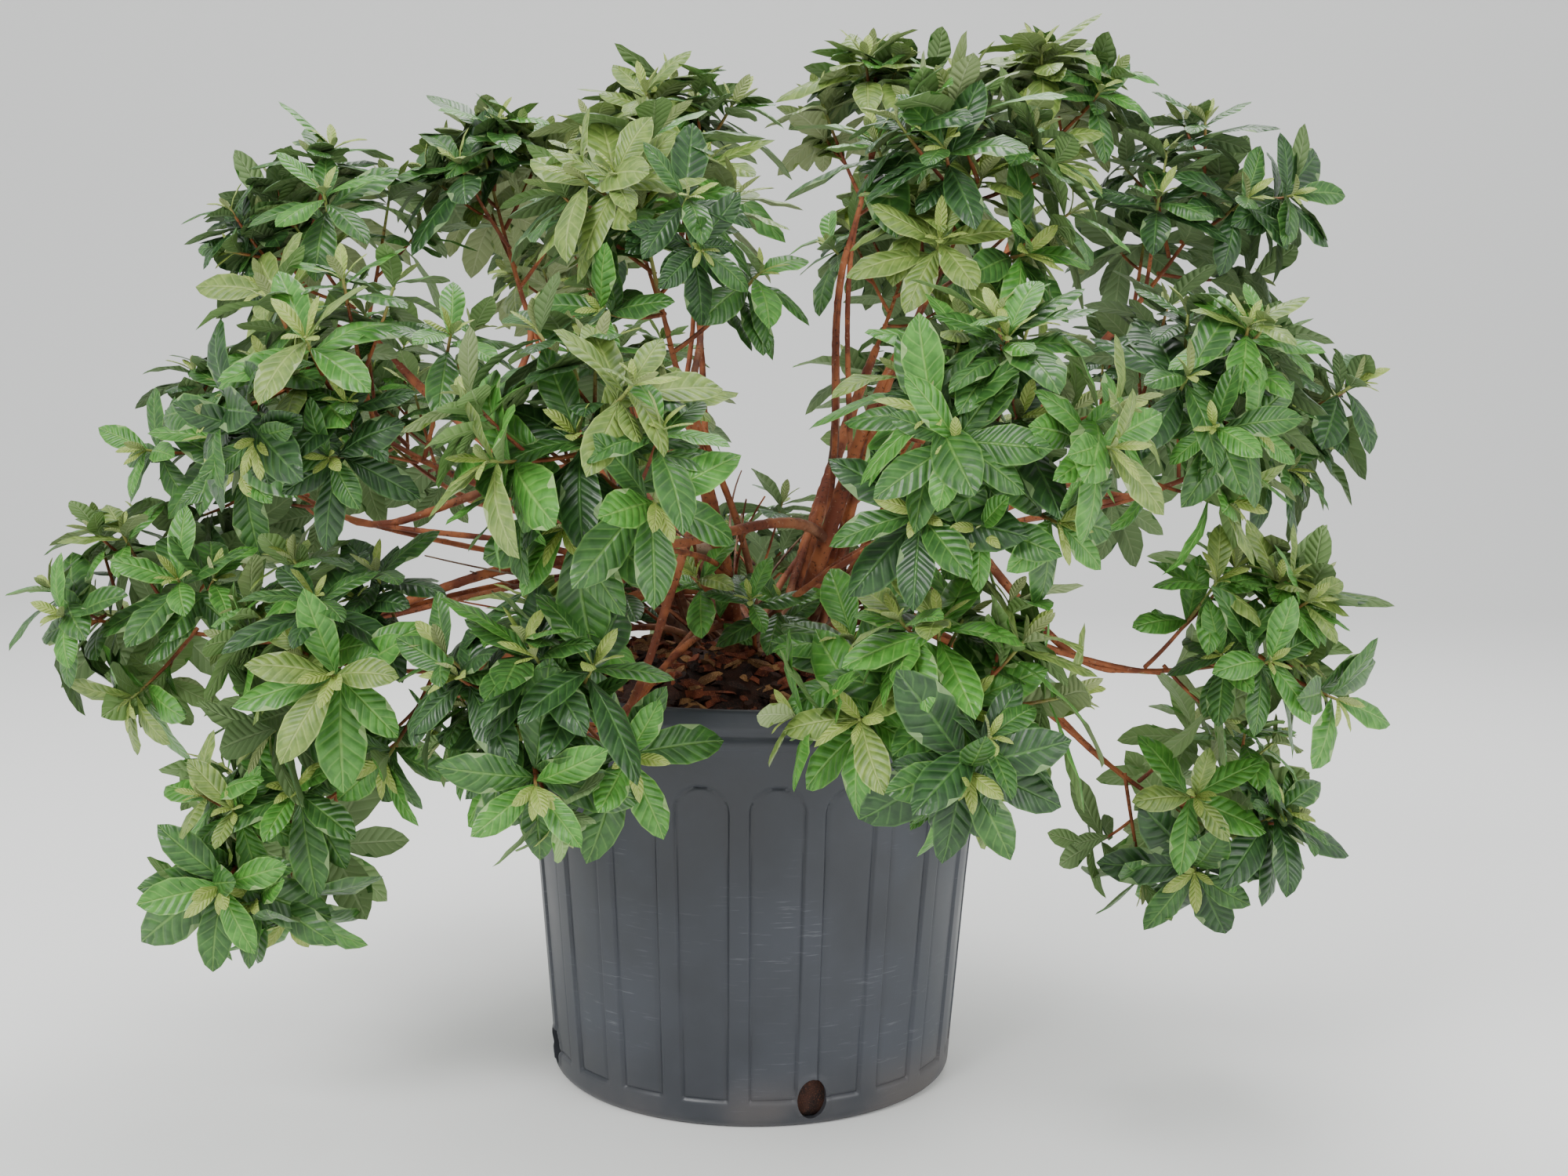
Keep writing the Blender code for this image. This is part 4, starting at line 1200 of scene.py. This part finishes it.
draw = np.random.default_rng(SEED + 900)
for number in range(LOW_SHOOTS):
    azimuth = 360.0 / LOW_SHOOTS * number + draw.uniform(-9.0, 9.0)
    foot = at_azimuth(azimuth + draw.uniform(-20.0, 20.0), draw.uniform(0.035, 0.055),
                      SOIL_TOP - 0.002)
    heading = heading_at(azimuth, draw.uniform(14.0, 46.0))
    tint = LOW_SHOOT_TINTS[int(draw.integers(0, 3))]
    grow_shoot(draw, foot, heading, draw.uniform(0.045, 0.085), tint, 0.72, 6, LOW_SHOOT_RADIUS)
step = np.linspace(0.0, 1.0, DRY_TWIG_STEPS)[:, None]
for number in range(DRY_TWIGS):
    azimuth = draw.uniform(0.0, 360.0)
    base = at_azimuth(azimuth + draw.uniform(-30.0, 30.0), draw.uniform(0.02, 0.10),
                      SOIL_TOP + draw.uniform(0.0, 0.05))
    heading = heading_at(azimuth, draw.uniform(-4.0, 40.0))
    length = draw.uniform(0.06, 0.13)
    bow = at_azimuth(azimuth + 90.0, draw.uniform(-0.2, 0.2), draw.uniform(-0.10, 0.15))
    path = base + heading * length * step + bow * length * step ** 2
    if is_clear(path[-1]) and is_clear(path[DRY_TWIG_STEPS // 2]):
        ages = np.full(DRY_TWIG_STEPS, draw.uniform(0.0, 0.4))
        twigs.add(path, np.linspace(*DRY_TWIG_RADII, DRY_TWIG_STEPS), ages)
add_piece("twigs", twigs.mesh("twigs"), azalea_bark)

# %% [markdown]
# A leaf is a thin closed lens: six rings of eight points between a pole at its foot and a
# pole at its tip. Each ring runs over the upper side and back under it. The outline is a
# power of a sine, widest a little past the middle. The blade is bent along a circle, folded
# at the midrib, curled down at its edges, twisted and waved, each by its leaf's own amount.

# %% Leaf surface
LEAF_STATIONS = np.array([0.06, 0.20, 0.38, 0.57, 0.76, 0.91])
LEAF_ACROSS = np.array([-1.0, -0.5, 0.0, 0.5, 1.0, 0.5, 0.0, -0.5])
LEAF_SHEET = np.array([0.0, 1.0, 1.0, 1.0, 0.0, -1.0, -1.0, -1.0])
LEAF_POINTS = 2 + len(LEAF_STATIONS) * len(LEAF_ACROSS)
LEAF_THICKNESS = 0.0006
LEAF_WIDEST = 0.58
LEAF_FULLNESS = 0.75
LEAF_NARROWEST = 0.09
EDGE_WAVE, EDGE_WAVES = 0.10, 13.0


def over_leaf(at_poles, values):
    """One value for each point of a leaf: those of its two poles, then those of its rings."""
    return np.concatenate([at_poles, values])[None, :]


def leaf_outline(u):
    """Half the blade's width as a share of its greatest: sin(pi u^p)^0.75, p from the widest."""
    power = math.log(0.5) / math.log(LEAF_WIDEST)
    return np.maximum(np.sin(np.pi * u ** power) ** LEAF_FULLNESS, LEAF_NARROWEST)


def leaf_points(rows):
    """Every leaf's points: (leaves, 50, 3), with its two poles first."""
    root, along, face = rows[:, 0:3], rows[:, 3:6], rows[:, 6:9]
    length, width, bend, fold, curl, twist, phase = (column[:, None] for column in rows[:, 9:].T)
    side = np.cross(along, face)
    u = over_leaf([0.0, 1.0], np.repeat(LEAF_STATIONS, len(LEAF_ACROSS)))
    v = over_leaf([0.0, 0.0], np.tile(LEAF_ACROSS, len(LEAF_STATIONS)))
    sheet = over_leaf([0.0, 0.0], np.tile(LEAF_SHEET, len(LEAF_STATIONS)))
    half = 0.5 * width * leaf_outline(np.clip(u, 1e-6, 1.0)) * (u > 0.0) * (u < 1.0)
    turn = bend * u
    forward = length * np.sin(turn) / bend
    down = length * (1.0 - np.cos(turn)) / bend
    rise = half * (fold * np.abs(v) - curl * v ** 2)
    rise += EDGE_WAVE * half * np.abs(v) * np.sin(EDGE_WAVES * u + phase)
    rise += 0.5 * LEAF_THICKNESS * sheet
    lean = twist * u
    across = half * v * np.cos(lean) - rise * np.sin(lean)
    rise = half * v * np.sin(lean) + rise * np.cos(lean)
    normal = face[:, None] * np.cos(turn)[..., None] + along[:, None] * np.sin(turn)[..., None]
    return (root[:, None] + along[:, None] * forward[..., None] - face[:, None] * down[..., None]
            + side[:, None] * across[..., None] + normal * rise[..., None])


# %% [markdown]
# All leaves share one chart, a square whose left half is the upper side and whose right half
# is the underside. A pattern drawn once on the chart then appears on each of the thousands
# of leaves, and one small picture can hold the whole piece's colours.

# %% Leaf chart and meshes
UV_MARGIN = 0.02
LEAF_CRISP_FROM = 100.0


def leaf_charts():
    """One leaf's quads and triangles, and the chart place of each of their corners."""
    rings, sides = len(LEAF_STATIONS), len(LEAF_ACROSS)
    quads = tube_faces(rings, sides, 2)
    last_ring = LEAF_POINTS - sides
    triangles = np.concatenate([fan_faces(0, 2, sides, False),
                                fan_faces(1, last_ring, sides, True)])
    stations = over_leaf([0.0, 1.0], np.repeat(LEAF_STATIONS, sides))[0]
    across = over_leaf([0.0, 0.0], np.tile(LEAF_ACROSS, rings))[0]
    charts = []
    for faces in (quads, triangles):
        under = np.arange(len(faces)) % sides >= sides // 2
        middle = np.where(under, 0.75, 0.25)[:, None]
        charts.append(np.stack([middle + (0.25 - UV_MARGIN) * across[faces],
                                UV_MARGIN + (1.0 - 2.0 * UV_MARGIN) * stations[faces]], -1))
    return quads, triangles, charts


def leaves_mesh(name, rows):
    """All the leaves of one tint as one mesh, with the same chart for every leaf."""
    quads, triangles, charts = leaf_charts()
    count = len(rows)
    first = LEAF_POINTS * np.arange(count)[:, None, None]
    mesh = make_mesh(name, leaf_points(np.array(rows)).reshape(-1, 3),
                     (quads[None] + first).reshape(-1, 4), (triangles[None] + first).reshape(-1, 3))
    uv = np.concatenate([np.broadcast_to(chart, (count,) + chart.shape).reshape(-1, 2)
                         for chart in charts])
    mesh.uv_layers.new(name="OFBake").data.foreach_set("uv", uv.astype(np.float32).ravel())
    return smooth(mesh, LEAF_CRISP_FROM)


# %% [markdown]
# An azalea leaf is leathery: glossy above, with a sunken midrib and side veins that curve
# forward, and pale and matt below. Side veins are about 5 mm apart on a 50 mm leaf, which
# gives nine to a side. Between them the blade swells a little, so the bump follows the veins.

# %% Leaf materials
SIDE_VEINS = 9.0
VEIN_SWEEP = 0.16
MATT_BELOW = 0.62


def leaf_material(name, blade, deep, vein, under, under_vein, gloss):
    """A leathery blade: two greens, veins, a pale edge, and a matt underside."""
    material, tree = new_material(name, gloss, 1.45)
    chart = add_node(tree, "ShaderNodeUVMap", uv_map="OFBake")
    across = add_node(tree, "ShaderNodeSeparateXYZ", {0: chart}, "X")
    along = across.node.outputs["Y"]
    below = add_node(tree, MATH, {0: across, 1: 0.5}, operation="GREATER_THAN")
    doubled = add_node(tree, MATH, {0: across, 1: 2.0}, operation="MULTIPLY")
    in_half = add_node(tree, MATH, {0: doubled}, operation="FRACT")
    centred = add_node(tree, MATH, {0: in_half, 1: 0.5}, operation="SUBTRACT")
    centred = add_node(tree, MATH, {0: centred}, operation="ABSOLUTE")
    off = add_node(tree, MATH, {0: centred, 1: 1.0 / (0.5 - 2.0 * UV_MARGIN)}, operation="MULTIPLY")
    rib = add_node(tree, RANGE, {0: off, 1: 0.10, 2: 0.02}, **S_CURVE)
    sweep = add_node(tree, MATH, {0: off, 1: VEIN_SWEEP}, operation="MULTIPLY")
    swept = add_node(tree, MATH, {0: along, 1: sweep}, operation="SUBTRACT")
    counted = add_node(tree, MATH, {0: swept, 1: SIDE_VEINS}, operation="MULTIPLY")
    wave = add_node(tree, MATH, {0: counted, 1: 0.5}, operation="PINGPONG")
    line = add_node(tree, RANGE, {0: wave, 1: 0.12, 2: 0.02}, **S_CURVE)
    fade = add_node(tree, RANGE, {0: off, 1: 0.98, 2: 0.70}, **S_CURVE)
    side_vein = add_node(tree, MATH, {0: line, 1: fade}, operation="MULTIPLY")
    side_vein = add_node(tree, MATH, {0: side_vein, 1: 0.55}, operation="MULTIPLY")
    veins = add_node(tree, MATH, {0: rib, 1: side_vein}, operation="MAXIMUM")
    mottle = add_node(tree, NOISE, {"Vector": chart, "Scale": 7.0, "Detail": 3.0}, "Fac")
    mottle = add_node(tree, RANGE, {0: mottle, 1: 0.35, 2: 0.65}, **S_CURVE)
    upper = add_node(tree, MIX, {0: mottle, 6: deep, 7: blade}, 2, **OF_COLOUR)
    drawn = add_node(tree, MATH, {0: veins, 1: 0.62}, operation="MULTIPLY")
    upper = add_node(tree, MIX, {0: drawn, 6: upper, 7: vein}, 2, **OF_COLOUR)
    edge = add_node(tree, RANGE, {0: off, 1: 0.88, 2: 0.99, 3: 0.0, 4: 0.55}, **S_CURVE)
    upper = add_node(tree, MIX, {0: edge, 6: upper, 7: vein}, 2, **OF_COLOUR)
    drawn = add_node(tree, MATH, {0: veins, 1: 0.8}, operation="MULTIPLY")
    lower = add_node(tree, MIX, {0: drawn, 6: under, 7: under_vein}, 2, **OF_COLOUR)
    colour = add_node(tree, MIX, {0: below, 6: upper, 7: lower}, 2, **OF_COLOUR)
    rough = add_node(tree, RANGE, {0: below, 3: gloss, 4: MATT_BELOW})
    swell = add_node(tree, RANGE, {0: wave, 1: 0.0, 2: 0.42}, **S_CURVE)
    sunk = add_node(tree, MATH, {0: rib, 1: 1.2}, operation="MULTIPLY")
    quilt = add_node(tree, MATH, {0: swell, 1: sunk}, operation="SUBTRACT")
    bump = add_node(tree, "ShaderNodeBump", {"Height": quilt, "Strength": 0.55, "Distance": 0.0008})
    return feed_shader(material, {"Base Color": colour, "Roughness": rough, "Normal": bump})


LEAF_TINTS = {
    "deep": ("#2F5228", "#203D1E", "#55803F", "#6E8A58", "#93AB78", 0.34),
    "mid": ("#3F6C2E", "#2E5424", "#6C9648", "#7B9760", "#9DB480", 0.36),
    "bright": ("#559038", "#3E7429", "#84B156", "#86A765", "#A9C287", 0.38),
    "olive": ("#7C9446", "#5F7A37", "#A5B76A", "#98A974", "#B6C492", 0.44),
    "lime": ("#A0B257", "#86A045", "#C2CC80", "#AEBB7C", "#C8D29C", 0.48),
}
foliage_nodes = [name for name in frame["nodes"] if name.startswith("foliage_")]
for tint, colours in LEAF_TINTS.items():
    mesh = leaves_mesh("leaves_" + tint, leaf_rows[tint])
    material = leaf_material("azalea_leaf_" + tint, *colours)
    add_piece("leaves_" + tint, mesh, material, foliage_nodes if tint == "deep" else ())

# %% [markdown]
# The plant stands on a plain pale floor under soft studio light. The floor and backdrop are
# one sheet that bends up behind, so no line shows where they meet. They aren't part of the
# plant.

# %% Floor, backdrop and light
STAGE_HALF_WIDTH = 5.0
STAGE_FRONT = -6.0
STAGE_BACK = 2.5
STAGE_BEND = 1.5
STAGE_HEIGHT = 6.0
LIGHT_TARGET = (0.0, 0.0, 0.33)
LIGHTS = (("key", (-1.3, -1.9, 1.9), 1.1, 62.0),
          ("fill", (1.7, -1.5, 1.0), 1.4, 24.0),
          ("top", (0.2, 0.9, 2.2), 1.2, 34.0))


def stage_mesh():
    """A flat floor that turns up through a quarter circle into a wall."""
    angle = np.linspace(0.0, 0.5 * np.pi, 24)
    curve = np.stack([STAGE_BACK + STAGE_BEND * np.sin(angle),
                      STAGE_BEND * (1.0 - np.cos(angle))], -1)
    line = np.concatenate([[(STAGE_FRONT, 0.0)], curve, [(STAGE_BACK + STAGE_BEND, STAGE_HEIGHT)]])
    points = np.concatenate([np.insert(line, 0, side, axis=1)
                             for side in (-STAGE_HALF_WIDTH, STAGE_HALF_WIDTH)])
    k = np.arange(len(line) - 1)
    quads = np.stack([k, k + len(line), k + len(line) + 1, k + 1], -1)
    mesh = make_mesh("stage", points, quads, np.zeros((0, 3), int))
    mesh.shade_smooth()
    return mesh


paper, paper_tree = new_material("matt_white_paper", 0.9, 1.45)
paper_tree.nodes[SHADER].inputs["Base Color"].default_value = linear("#F4F4F2")
stage = bpy.data.objects.new("stage", stage_mesh())
stage.data.materials.append(paper)
bpy.context.scene.collection.objects.link(stage)

world = bpy.data.worlds.new("studio")
bpy.context.scene.world = world
world.use_nodes = True
background = world.node_tree.nodes["Background"]
background.inputs["Color"].default_value = linear("#F6F8FA")
background.inputs["Strength"].default_value = 0.9
for name, place, size, energy in LIGHTS:
    lamp = bpy.data.lights.new(name, "AREA")
    lamp.shape = "SQUARE"
    lamp.size = size
    lamp.energy = energy
    item = bpy.data.objects.new(name, lamp)
    bpy.context.scene.collection.objects.link(item)
    there = Matrix.Translation(place)
    away = there.to_translation() - Matrix.Translation(LIGHT_TARGET).to_translation()
    item.matrix_world = there @ away.to_track_quat("Z", "Y").to_matrix().to_4x4()
print(len(LIGHTS), "lights")
